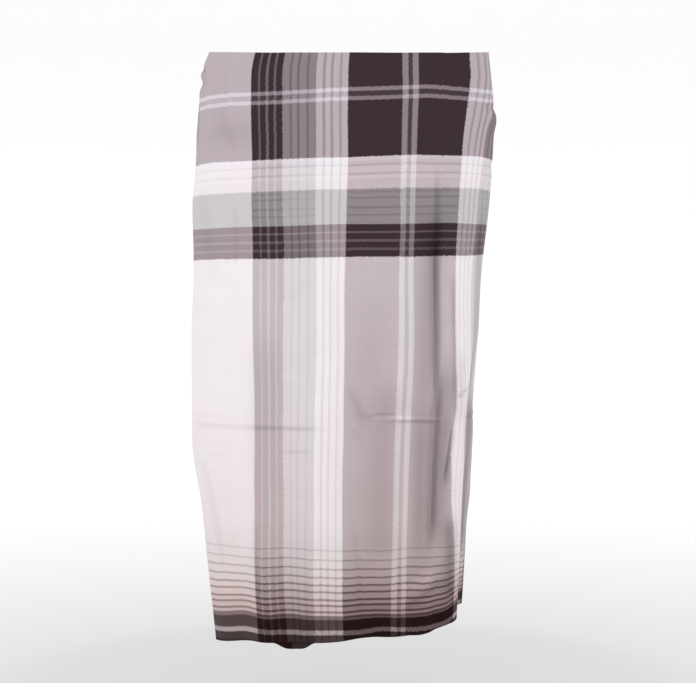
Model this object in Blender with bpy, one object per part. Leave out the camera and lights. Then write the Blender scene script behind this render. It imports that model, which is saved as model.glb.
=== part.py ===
"""A checked tube sarong, in the hollow form it takes when it is worn.

One wide cotton cloth is sewn into a tube with a single seam. The tube is pulled to one side and folded
flat across the front, so the front has three layers: the outside one, the fold that returns under it,
and the inner one. Seen from above, each level of the cloth is one closed path:

    fold edge at the left -> across the front -> round the right side -> seam at the back
    seam at the back -> round the left side -> across the front, inside -> inner turn
    inner turn -> back across the front, between the other two -> fold edge

Each of these three stretches is one solid. Units are metres, +Z is up, the front looks along -Y, and
the origin is the middle of the waist opening. Left and right are those of a viewer in front.

A place around the cloth is a turn in degrees: 0 at the left, 90 at the front, 180 at the right and
270 at the back.
"""
import math
from typing import NamedTuple

import bpy
import numpy as np

# Cloth
WALL = 0.0012            # thickness of one layer of cloth
LAYER_PITCH = 0.0018     # from the middle of one layer to the middle of the next
JOINT_GAP = 0.0003       # between the ends of two stretches

FULL_TURN = 360.0

# Edges
RIM_DIP = 0.0235         # how far the waist edge dips at the front
FOLD_TURN = 7.0          # where the fold edge lies
FOLD_ROLL = 0.0030       # how far the soft fold edge stands off the layer below
FOLD_ROLL_REACH = 8.0    # turn over which the outside layer settles down from the fold edge
SEAM_TURN = 270.0        # where the two cut ends of the cloth are sewn together
STEP_START = 0.6         # turn past the inner turn where the outside layer starts to step down
STEP_REACH = 5.0         # turn over which it steps down onto nothing but itself

# Mesh
ROWS = 20                # from the waist edge to the hem
FRONT_COLUMNS = 30       # across the three layers of the front
RIGHT_COLUMNS = 34       # from the inner turn round the right side to the seam
LEFT_COLUMNS = 18        # from the seam round the left side to the fold edge
ROLL_COLUMNS = 4         # round a fold
EVEN_SHARE = 0.5         # how evenly the rows are spread: 1 is even, 0 crowds them at both edges
SLOPE_STEP = 0.25        # turn between the two places that give the direction of the cloth


class Section(NamedTuple):
    """One level cut of the cloth's inner layer, seen from above."""
    height: float        # above the origin
    left: float          # lowest x
    right: float         # highest x
    front: float         # how far the cloth reaches towards the viewer
    back: float          # how far it reaches away from the viewer
    skew: float          # how far the right side is carried back


class Fold(NamedTuple):
    """One upright fold: a soft ridge, or a trough where the rises are negative."""
    rim_turn: float      # where it lies at the waist edge
    hem_turn: float      # where it lies at the hem
    reach: float         # half its width, as a turn
    rises: tuple         # how far it stands out at each of FOLD_HEIGHTS


class HemPoint(NamedTuple):
    """The height of the hem at one place around the cloth."""
    turn: float
    height: float


SECTIONS = (
    Section(height=0.000, left=-0.230, right=0.258, front=0.114, back=0.112, skew=0.000),
    Section(height=-0.040, left=-0.242, right=0.262, front=0.119, back=0.119, skew=0.000),
    Section(height=-0.100, left=-0.249, right=0.266, front=0.123, back=0.128, skew=0.000),
    Section(height=-0.190, left=-0.253, right=0.263, front=0.127, back=0.139, skew=0.002),
    Section(height=-0.280, left=-0.259, right=0.255, front=0.128, back=0.140, skew=0.004),
    Section(height=-0.366, left=-0.258, right=0.245, front=0.129, back=0.135, skew=0.007),
    Section(height=-0.524, left=-0.261, right=0.236, front=0.130, back=0.126, skew=0.012),
    Section(height=-0.612, left=-0.260, right=0.230, front=0.130, back=0.121, skew=0.015),
    Section(height=-0.700, left=-0.258, right=0.225, front=0.129, back=0.117, skew=0.018),
    Section(height=-0.780, left=-0.245, right=0.220, front=0.128, back=0.114, skew=0.021),
    Section(height=-0.900, left=-0.232, right=0.214, front=0.126, back=0.110, skew=0.025),
    Section(height=-1.030, left=-0.217, right=0.206, front=0.124, back=0.107, skew=0.030),
)

FOLD_HEIGHTS = (0.0, -0.35, -0.70, -1.02)
FOLDS = (
    Fold(rim_turn=56, hem_turn=56, reach=8.0, rises=(0.000, 0.000, 0.003, 0.017)),
    Fold(rim_turn=38, hem_turn=38, reach=7.0, rises=(0.000, 0.000, 0.000, -0.005)),
    Fold(rim_turn=71, hem_turn=71, reach=5.0, rises=(0.000, 0.000, -0.001, -0.007)),
    Fold(rim_turn=91, hem_turn=90, reach=8.0, rises=(0.000, 0.000, 0.001, 0.005)),
    Fold(rim_turn=108, hem_turn=108, reach=5.0, rises=(0.000, -0.001, -0.002, -0.009)),
    Fold(rim_turn=117, hem_turn=118, reach=5.0, rises=(0.000, 0.000, 0.001, 0.004)),
    Fold(rim_turn=131, hem_turn=139, reach=4.0, rises=(-0.001, -0.003, -0.005, -0.003)),
    Fold(rim_turn=150, hem_turn=152, reach=11.0, rises=(0.000, 0.002, 0.008, 0.015)),
    Fold(rim_turn=170, hem_turn=170, reach=8.0, rises=(0.000, 0.000, -0.004, -0.011)),
    Fold(rim_turn=188, hem_turn=192, reach=9.0, rises=(0.000, 0.002, 0.005, 0.008)),
    Fold(rim_turn=224, hem_turn=221, reach=8.0, rises=(0.000, -0.004, -0.008, -0.011)),
    Fold(rim_turn=246, hem_turn=248, reach=8.0, rises=(0.000, 0.002, 0.006, 0.010)),
    Fold(rim_turn=271, hem_turn=274, reach=7.0, rises=(0.000, -0.002, -0.005, -0.008)),
    Fold(rim_turn=296, hem_turn=292, reach=9.0, rises=(0.000, 0.003, 0.006, 0.009)),
    Fold(rim_turn=318, hem_turn=316, reach=7.0, rises=(0.000, -0.003, -0.007, -0.010)),
    Fold(rim_turn=340, hem_turn=337, reach=8.0, rises=(0.000, 0.001, 0.003, 0.005)),
)

INNER_TURN_HEIGHTS = (0.0, -0.39, -1.02)
INNER_TURNS = (127.0, 132.5, 136.0)   # where the inner turn lies at each of those heights

HEM = (
    HemPoint(turn=0, height=-1.034),
    HemPoint(turn=18, height=-1.032),
    HemPoint(turn=38, height=-1.027),
    HemPoint(turn=70, height=-1.018),
    HemPoint(turn=100, height=-1.015),
    HemPoint(turn=130, height=-1.011),
    HemPoint(turn=154, height=-0.996),
    HemPoint(turn=175, height=-0.980),
    HemPoint(turn=205, height=-0.985),
    HemPoint(turn=250, height=-1.004),
    HemPoint(turn=300, height=-1.016),
    HemPoint(turn=360, height=-1.034),
)

# The inner layer sags below the front's hem at one place
INNER_SAG = 0.009
INNER_SAG_TURN = 70.0
INNER_SAG_REACH = 7.0

# Woven colour that shows most on each stretch
WARM_WHITE = (0.78, 0.70, 0.72)
WARM_GREY = (0.50, 0.44, 0.46)
DARK_PLUM = (0.12, 0.09, 0.10)
COTTON_ROUGHNESS = 0.85


def column(rows, name):
    """Gives one named column of a table as an array."""
    return np.array([getattr(row, name) for row in rows])


def smooth_between(knots, values, places):
    """Carries a smooth curve through the values at rising knots, with no corner at a knot."""
    slopes = np.gradient(values, knots)
    places = np.clip(places, knots[0], knots[-1])
    index = np.clip(np.searchsorted(knots, places, side="right") - 1, 0, len(knots) - 2)
    span = (knots[1:] - knots[:-1])[index]
    t = (places - knots[index]) / span
    start, end = values[index], values[index + 1]
    start_slope, end_slope = slopes[index] * span, slopes[index + 1] * span
    return (start * (1 + 2 * t) * (1 - t) ** 2 + start_slope * t * (1 - t) ** 2
            + end * t ** 2 * (3 - 2 * t) + end_slope * t ** 2 * (t - 1))


def at_height(heights, values, height):
    """Reads a smooth value at a height from a table that runs downwards."""
    return smooth_between(np.array(heights)[::-1], np.array(values)[::-1], height)


def section_value(name, height):
    """Reads one size of the level cut at a height."""
    return at_height(column(SECTIONS, "height"), column(SECTIONS, name), height)


def smooth_step(value):
    """Rises softly from 0 to 1 as the value does."""
    value = np.clip(value, 0.0, 1.0)
    return value * value * (3 - 2 * value)


def rim_height(turn):
    """Gives the height of the waist edge, which is level but for its dip at the front."""
    return -RIM_DIP * np.clip(np.sin(np.radians(turn)), 0.0, None)


def hem_height(turn):
    """Gives the height of the hem around the cloth."""
    return smooth_between(column(HEM, "turn"), column(HEM, "height"), np.mod(turn, FULL_TURN))


def inner_turn(height):
    """Gives the turn at which the inner layers fold back under the front."""
    return at_height(INNER_TURN_HEIGHTS, INNER_TURNS, height)


def oval(turn, height):
    """Gives x and y of the plain level cut: an oval with its own depth at the front and the back."""
    angle = np.radians(turn)
    left, right = section_value("left", height), section_value("right", height)
    depth = np.where(np.sin(angle) > 0, section_value("front", height), section_value("back", height))
    x = (left + right) / 2 - (right - left) / 2 * np.cos(angle)
    y = -depth * np.sin(angle) + section_value("skew", height) * (1 - np.cos(angle)) / 2
    return x, y


def fold_rise(turn, height):
    """Adds up how far the folds stand out at a place, each one a bell across its width."""
    rise = np.zeros(np.broadcast(turn, height).shape)
    down = np.clip(height / FOLD_HEIGHTS[-1], 0.0, 1.0)
    for fold in FOLDS:
        middle = fold.rim_turn + (fold.hem_turn - fold.rim_turn) * down
        away = np.mod(turn - middle + FULL_TURN / 2, FULL_TURN) - FULL_TURN / 2
        rise += at_height(FOLD_HEIGHTS, fold.rises, height) * np.exp(-(away / fold.reach) ** 2)
    return rise


def outward(place, turn, height):
    """Gives the level direction that points out of the cloth, from two places close on either side."""
    x0, y0 = place(turn - SLOPE_STEP, height)
    x1, y1 = place(turn + SLOPE_STEP, height)
    length = np.hypot(x1 - x0, y1 - y0)
    return (y1 - y0) / length, -(x1 - x0) / length


def folded_oval(turn, height):
    """Gives x and y of the inner layer: the oval with its folds."""
    x, y = oval(turn, height)
    out_x, out_y = outward(oval, turn, height)
    rise = fold_rise(turn, height)
    return x + out_x * rise, y + out_y * rise


def layer(turn, height, lift):
    """Gives x and y of a layer that lies the lift outside the inner one."""
    x, y = folded_oval(turn, height)
    out_x, out_y = outward(folded_oval, turn, height)
    return x + out_x * lift, y + out_y * lift


def outside_lift(turn, height):
    """Gives how far the outside layer lies out: proud at its fold edge, two layers up across the
    front, and down on nothing past the inner turn."""
    roll = FOLD_ROLL * np.exp(-(turn - FOLD_TURN) / FOLD_ROLL_REACH)
    past = turn - inner_turn(height) - STEP_START
    return (2 * LAYER_PITCH + roll) * (1 - smooth_step(past / STEP_REACH))


def fold_round(turn, height, low, high, towards):
    """Gives x and y of a half circle from the low lift to the high one, bulging left (-1) or right (1)."""
    x, y = layer(turn, height, (low + high) / 2)
    out_x, out_y = outward(folded_oval, turn, height)
    along_x, along_y = -out_y, out_x
    radius = (high - low) / 2
    angle = np.linspace(-math.pi / 2, math.pi / 2, ROLL_COLUMNS + 1)[None, :]
    side, out = towards * radius * np.cos(angle), radius * np.sin(angle)
    return x + along_x * side + out_x * out, y + along_y * side + out_y * out


def shifted_turn(turn, height, lift, distance):
    """Moves a turn along its layer by a distance, to leave the gap between two stretches."""
    x0, y0 = layer(turn - SLOPE_STEP, height, lift)
    x1, y1 = layer(turn + SLOPE_STEP, height, lift)
    return turn + distance * 2 * SLOPE_STEP / np.hypot(x1 - x0, y1 - y0)


def row_shares():
    """Spreads the rows from 0 at the waist edge to 1 at the hem, closer together at both edges."""
    even = np.linspace(0.0, 1.0, ROWS + 1)
    return EVEN_SHARE * even + (1 - EVEN_SHARE) * (1 - np.cos(math.pi * even)) / 2


def heights_at(turn, sag=0.0):
    """Gives the height of every row at each turn, from the waist edge down to the hem less its sag."""
    share = row_shares()[:, None]
    return rim_height(turn) * (1 - share) + (hem_height(turn) - sag) * share


def inner_sag(turn):
    """Gives how far the inner layer's hem hangs below the one in front of it."""
    away = turn - FULL_TURN - INNER_SAG_TURN
    return INNER_SAG * np.exp(-(away / INNER_SAG_REACH) ** 2)


def front_turns():
    """Spreads the columns of the front evenly from the fold edge to the inner turn, row by row."""
    last = inner_turn(heights_at(np.array([[INNER_TURNS[-1]]])))
    share = np.linspace(0.0, 1.0, FRONT_COLUMNS + 1)[None, :]
    return FOLD_TURN + (last - FOLD_TURN) * share


def seam_turn(distance):
    """Gives the turn of each row's end at the seam, moved along the cloth by a distance."""
    height = heights_at(np.array([[SEAM_TURN]]))
    return shifted_turn(SEAM_TURN, height, 0.0, distance)


def front_wrap_path():
    """Gives the outside stretch: round the fold edge, across the front, to the seam at the back."""
    edge = np.array([[FOLD_TURN]])
    edge_height = heights_at(edge)
    roll = fold_round(edge, edge_height, LAYER_PITCH, float(outside_lift(FOLD_TURN, 0.0)), -1)
    front = front_turns()
    share = np.linspace(0.0, 1.0, RIGHT_COLUMNS + 1)[None, 1:]
    side = front[:, -1:] + (seam_turn(-JOINT_GAP / 2) - front[:, -1:]) * share
    turn = np.hstack([front, side])
    height = heights_at(turn)
    x, y = layer(turn, height, outside_lift(turn, height))
    roll_height = np.repeat(edge_height, ROLL_COLUMNS, axis=1)
    return (np.hstack([roll[0][:, :-1], x]), np.hstack([roll[1][:, :-1], y]),
            np.hstack([roll_height, height]))


def back_wrap_path():
    """Gives the inner stretch: from the seam round the left side and across the front, inside."""
    first = seam_turn(JOINT_GAP / 2)
    share = np.linspace(0.0, 1.0, LEFT_COLUMNS + 1)[None, :-1]
    side = first + (FOLD_TURN + FULL_TURN - first) * share
    turn = np.hstack([side, FULL_TURN + front_turns()])
    height = heights_at(turn, inner_sag(turn))
    turn[:, -1] = shifted_turn(turn[:, -1], height[:, -1], 0.0, -2 * JOINT_GAP)
    x, y = layer(turn, height, 0.0)
    return x, y, height


def fold_return_path():
    """Gives the middle stretch: round the inner turn and back under the front to the fold edge."""
    turn = front_turns()
    height = heights_at(turn)
    turn[:, 0] = shifted_turn(turn[:, 0], height[:, 0], LAYER_PITCH, JOINT_GAP)
    turn[:, -1] = shifted_turn(turn[:, -1], height[:, -1], LAYER_PITCH, -JOINT_GAP)
    x, y = layer(turn, height, LAYER_PITCH)
    end, end_height = turn[:, -1:], height[:, -1:]
    roll_x, roll_y = fold_round(end, end_height, 0.0, LAYER_PITCH, 1)
    x = np.hstack([x, roll_x[:, ::-1][:, 1:]])
    y = np.hstack([y, roll_y[:, ::-1][:, 1:]])
    return x, y, np.hstack([height, np.repeat(end_height, ROLL_COLUMNS, axis=1)])


def path_normals(x, y):
    """Gives the level direction square to each row's path, to the right of its way."""
    along_x, along_y = np.gradient(x, axis=1), np.gradient(y, axis=1)
    length = np.hypot(along_x, along_y)
    return along_y / length, -along_x / length


def wall_mesh(name, path):
    """Makes a closed wall around a path: two skins half a thickness away, joined along their edges."""
    x, y, z = path
    out_x, out_y = path_normals(x, y)
    skins = [np.stack([x + side * out_x * WALL / 2, y + side * out_y * WALL / 2, z], axis=-1)
             for side in (1.0, -1.0)]
    rows, columns = x.shape
    index = np.arange(2 * rows * columns).reshape(2, rows, columns)
    outer, inner = index
    faces = [quads(outer), quads(inner[:, ::-1])]
    faces.append(quads(np.stack([inner[0], outer[0]])))
    faces.append(quads(np.stack([outer[-1], inner[-1]])))
    faces.append(quads(np.stack([inner[:, 0], outer[:, 0]], axis=1)))
    faces.append(quads(np.stack([outer[:, -1], inner[:, -1]], axis=1)))
    mesh = bpy.data.meshes.new(name)
    mesh.from_pydata(np.concatenate([skin.reshape(-1, 3) for skin in skins]).tolist(), [],
                     np.concatenate(faces).tolist())
    mesh.validate()
    mesh.update()
    return mesh


def quads(grid):
    """Lists the four corners of every cell of a grid of point numbers, first row down, then across."""
    return np.stack([grid[:-1, :-1], grid[1:, :-1], grid[1:, 1:], grid[:-1, 1:]], axis=-1).reshape(-1, 4)


def cloth_material(name, colour):
    """Makes a plain matt cotton finish."""
    material = bpy.data.materials.new(name)
    material.use_nodes = True
    shader = material.node_tree.nodes["Principled BSDF"]
    shader.inputs["Base Color"].default_value = (*colour, 1.0)
    shader.inputs["Roughness"].default_value = COTTON_ROUGHNESS
    shader.inputs["Metallic"].default_value = 0.0
    return material


def add_stretch(name, path, colour):
    """Adds one stretch of the cloth to the scene."""
    mesh = wall_mesh(name, path)
    mesh.materials.append(cloth_material(name + "_cotton", colour))
    mesh.shade_smooth()
    stretch = bpy.data.objects.new(name, mesh)
    bpy.context.scene.collection.objects.link(stretch)
    return stretch


def clear_scene():
    """Removes whatever the scene holds."""
    for item in list(bpy.context.scene.objects):
        bpy.data.objects.remove(item, do_unlink=True)


def main():
    """Builds the three stretches of the sarong."""
    clear_scene()
    add_stretch("front_wrap", front_wrap_path(), WARM_WHITE)
    add_stretch("back_wrap", back_wrap_path(), WARM_GREY)
    add_stretch("fold_return", fold_return_path(), DARK_PLUM)


main()
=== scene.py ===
"""Checked tube sarong: the cotton cloth, its back seam and a plain studio, laid out as an add-on.

The cloth is one long piece, sewn into a tube, pulled to the left and folded flat across the front. It is
made as three stretches, each a thin shell that follows the form of its solid:

    front wrap:   fold edge at the left -> across the front -> round the right side -> seam at the back
    back wrap:    seam at the back -> round the left side -> across the front, inside -> inner turn
    fold return:  inner turn -> back across the front, between the other two -> fold edge

Units are metres, +Z is up and the front looks along -Y. A place around the cloth is a turn in degrees:
0 at the left, 90 at the front, 180 at the right and 270 at the back.
"""
import math
from typing import NamedTuple

import bpy
import numpy as np
from bpy.props import FloatProperty, FloatVectorProperty, IntProperty, PointerProperty
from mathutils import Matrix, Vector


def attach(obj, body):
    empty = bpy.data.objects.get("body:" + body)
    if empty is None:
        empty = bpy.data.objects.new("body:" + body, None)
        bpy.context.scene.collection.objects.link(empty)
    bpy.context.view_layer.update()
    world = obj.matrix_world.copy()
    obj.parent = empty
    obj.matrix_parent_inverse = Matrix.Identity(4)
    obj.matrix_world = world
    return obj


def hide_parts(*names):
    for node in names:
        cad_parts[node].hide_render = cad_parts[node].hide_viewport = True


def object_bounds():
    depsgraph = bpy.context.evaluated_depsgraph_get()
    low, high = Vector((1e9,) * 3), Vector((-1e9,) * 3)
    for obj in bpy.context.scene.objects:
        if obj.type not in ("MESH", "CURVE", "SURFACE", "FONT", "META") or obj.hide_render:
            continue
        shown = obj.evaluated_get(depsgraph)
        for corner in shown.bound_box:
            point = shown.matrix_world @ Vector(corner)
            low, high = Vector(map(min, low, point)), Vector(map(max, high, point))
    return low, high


bl_info = {
    "name": "Checked Tube Sarong",
    "version": (1, 0, 0),
    "blender": (4, 5, 0),
    "location": "3D View > Sidebar > Sarong",
    "description": "Hangs, weaves and sews a checked cotton tube sarong around its solids",
    "category": "Add Mesh",
}

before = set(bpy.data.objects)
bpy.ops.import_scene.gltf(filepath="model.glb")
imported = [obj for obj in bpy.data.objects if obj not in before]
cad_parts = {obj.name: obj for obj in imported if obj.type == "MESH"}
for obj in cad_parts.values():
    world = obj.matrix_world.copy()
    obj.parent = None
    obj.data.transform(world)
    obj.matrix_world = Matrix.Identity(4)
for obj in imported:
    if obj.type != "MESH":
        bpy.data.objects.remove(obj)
CAD_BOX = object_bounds()

BODY = "root"
WHITE = (1.0, 1.0, 1.0, 1.0)   # a tint that changes nothing
WEAVE_MAP = "weave"          # map whose two numbers are metres around and metres down the cloth
SHADE = "shade"              # attribute of painted shade: how much darker the cloth is painted there, at most 1; below 0 it is painted lighter, a painted highlight

FULL_TURN = 360.0
SHARP_ANGLE = math.radians(50)

# Layers of the front
LAYER_PITCH = 0.0018         # from the middle of one layer to the middle of the next
JOINT_GAP = 0.0003           # between the ends of two stretches
FOLD_TURN = 7.0              # where the fold edge lies
FOLD_ROLL = 0.0030           # how far the soft fold edge stands off the layer below
FOLD_ROLL_REACH = 8.0        # turn over which the outside layer settles down from the fold edge
SEAM_TURN = 270.0            # where the two cut ends of the cloth are sewn together
STEP_START = 0.6             # turn past the inner turn where the outside layer starts to step down
STEP_REACH = 5.0             # turn over which it steps down onto nothing but itself
RIM_DIP = 0.0235             # how far the waist edge dips at the front
SLOPE_STEP = 0.25            # turn between the two places that give the direction of the cloth
ROLL_TURN_STEP = 0.01        # turn by which the columns round the fold edge are told apart
RING_STEPS = 1440            # steps in which the length round the cloth is measured
CROWD_STEPS = 4000           # steps in which crowded rows or columns are counted out


class Section(NamedTuple):
    """One level cut of the cloth's inner layer, seen from above."""
    height: float
    left: float
    right: float
    front: float
    back: float
    skew: float


class Fold(NamedTuple):
    """One upright fold, with how far it stands out at each of FOLD_HEIGHTS."""
    rim_turn: float
    hem_turn: float
    reach: float
    rises: tuple


class HemPoint(NamedTuple):
    """The height of the hem, or of a woven line, at one place around the cloth."""
    turn: float
    height: float


class Crease(NamedTuple):
    """A soft trough (negative rise) or ridge that runs from one place to another. Where it has no rise it
    is only painted shade: the cloth is painted darker where shadow falls on it, and painted lighter, a
    painted highlight, where its shade is negative."""
    turn: float
    height: float
    end_turn: float
    end_height: float
    width: float             # from its middle line to where it has sunk to a third
    rise: float
    fade: float = 0.3        # share of its length over which each end dies away
    bow: float = 0.0         # how far its middle is bowed sideways
    shade: float = 0.0       # painted shade along it: how much darker the cloth is painted, and lighter (a painted highlight) where negative


class Ripple(NamedTuple):
    """A faint wave over the whole cloth."""
    waves_round: int
    length_down: float
    rise: float
    phase: float


class Bulge(NamedTuple):
    """A place where the soft fold edge stands out further, or less far."""
    height: float
    rise: float
    reach: float


class Crowd(NamedTuple):
    """A share of a run near which rows or columns lie closer together."""
    middle: float
    reach: float
    strength: float


class Cast(NamedTuple):
    """The tint that the whole weave has at one place down the cloth; its darkening towards the hem is
    partly painted shade.
    """
    place: float
    red: float
    green: float
    blue: float


class Stripe(NamedTuple):
    """One woven stripe, up to where it ends."""
    end: float
    white: float             # share of pale threads among the dark ones
    cover: float = 0.5       # share of the surface on which the level threads show
    pale: str = "white"      # which pale thread it has


class Chart(NamedTuple):
    """The stripes that follow each other from one place on."""
    start: float
    stripes: tuple


class StripeTurns(NamedTuple):
    """The turns at which the edges of the upright stripes lie at one height."""
    height: float
    striped: float
    grey: float
    light: float
    panel: float
    pair: float
    pair_end: float
    panel_end: float
    light_end: float


class Slant(NamedTuple):
    """How many millimetres lower than at the front one woven line runs, at each of SLANT_TURNS."""
    height: float
    left: float
    left_side: float
    left_front: float
    striped: float
    near_left: float
    near_middle: float
    middle: float
    panel: float
    past_middle: float
    near_right: float
    right_front: float
    right_side: float
    right: float


# height, left, right, front, back, skew
SECTIONS = (
    Section(0.000, -0.230, 0.258, 0.114, 0.112, 0.000),
    Section(-0.040, -0.242, 0.262, 0.119, 0.119, 0.000),
    Section(-0.100, -0.249, 0.266, 0.123, 0.128, 0.000),
    Section(-0.190, -0.253, 0.263, 0.127, 0.139, 0.002),
    Section(-0.280, -0.259, 0.255, 0.128, 0.140, 0.004),
    Section(-0.366, -0.258, 0.245, 0.129, 0.135, 0.007),
    Section(-0.524, -0.261, 0.236, 0.130, 0.126, 0.012),
    Section(-0.612, -0.260, 0.230, 0.130, 0.121, 0.015),
    Section(-0.700, -0.258, 0.225, 0.129, 0.117, 0.018),
    Section(-0.780, -0.245, 0.220, 0.128, 0.114, 0.021),
    Section(-0.900, -0.232, 0.214, 0.126, 0.110, 0.025),
    Section(-1.030, -0.217, 0.206, 0.124, 0.107, 0.030),
)

FOLD_HEIGHTS = (0.0, -0.35, -0.70, -1.02)
# turn at the waist edge, turn at the hem, reach, rises
FOLDS = (
    Fold(56, 56, 8.0, (0.000, 0.000, 0.003, 0.017)),
    Fold(38, 38, 7.0, (0.000, 0.000, 0.000, -0.005)),
    Fold(71, 71, 5.0, (0.000, 0.000, -0.001, -0.007)),
    Fold(91, 90, 8.0, (0.000, 0.000, 0.001, 0.005)),
    Fold(108, 108, 5.0, (0.000, -0.001, -0.002, -0.009)),
    Fold(117, 118, 5.0, (0.000, 0.000, 0.001, 0.004)),
    Fold(131, 139, 4.0, (-0.001, -0.003, -0.005, -0.003)),
    Fold(150, 152, 11.0, (0.000, 0.002, 0.008, 0.015)),
    Fold(170, 170, 8.0, (0.000, 0.000, -0.004, -0.011)),
    Fold(188, 192, 9.0, (0.000, 0.002, 0.005, 0.008)),
    Fold(224, 221, 8.0, (0.000, -0.004, -0.008, -0.011)),
    Fold(246, 248, 8.0, (0.000, 0.002, 0.006, 0.010)),
    Fold(271, 274, 7.0, (0.000, -0.002, -0.005, -0.008)),
    Fold(296, 292, 9.0, (0.000, 0.003, 0.006, 0.009)),
    Fold(318, 316, 7.0, (0.000, -0.003, -0.007, -0.010)),
    Fold(340, 337, 8.0, (0.000, 0.001, 0.003, 0.005)),
)

INNER_TURN_HEIGHTS = (0.0, -0.39, -1.02)
INNER_TURNS = (127.0, 132.5, 136.0)

# turn, height
HEM = (
    HemPoint(0, -1.034),
    HemPoint(12, -1.0325),
    HemPoint(24, -1.0295),
    HemPoint(38, -1.0247),
    HemPoint(52, -1.0206),
    HemPoint(66, -1.0205),
    HemPoint(78, -1.0212),
    HemPoint(88, -1.0190),
    HemPoint(101, -1.0138),
    HemPoint(110, -1.0147),
    HemPoint(122, -1.0134),
    HemPoint(130, -1.0146),
    HemPoint(138, -1.0100),
    HemPoint(148, -1.0000),
    HemPoint(154, -0.996),
    HemPoint(175, -0.980),
    HemPoint(205, -0.985),
    HemPoint(250, -1.004),
    HemPoint(300, -1.016),
    HemPoint(360, -1.034),
)
INNER_SAG = 0.0125           # how far the inner layer hangs below the front's hem
INNER_SAG_TURN = 69.2
INNER_SAG_REACH = 7.4
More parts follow.
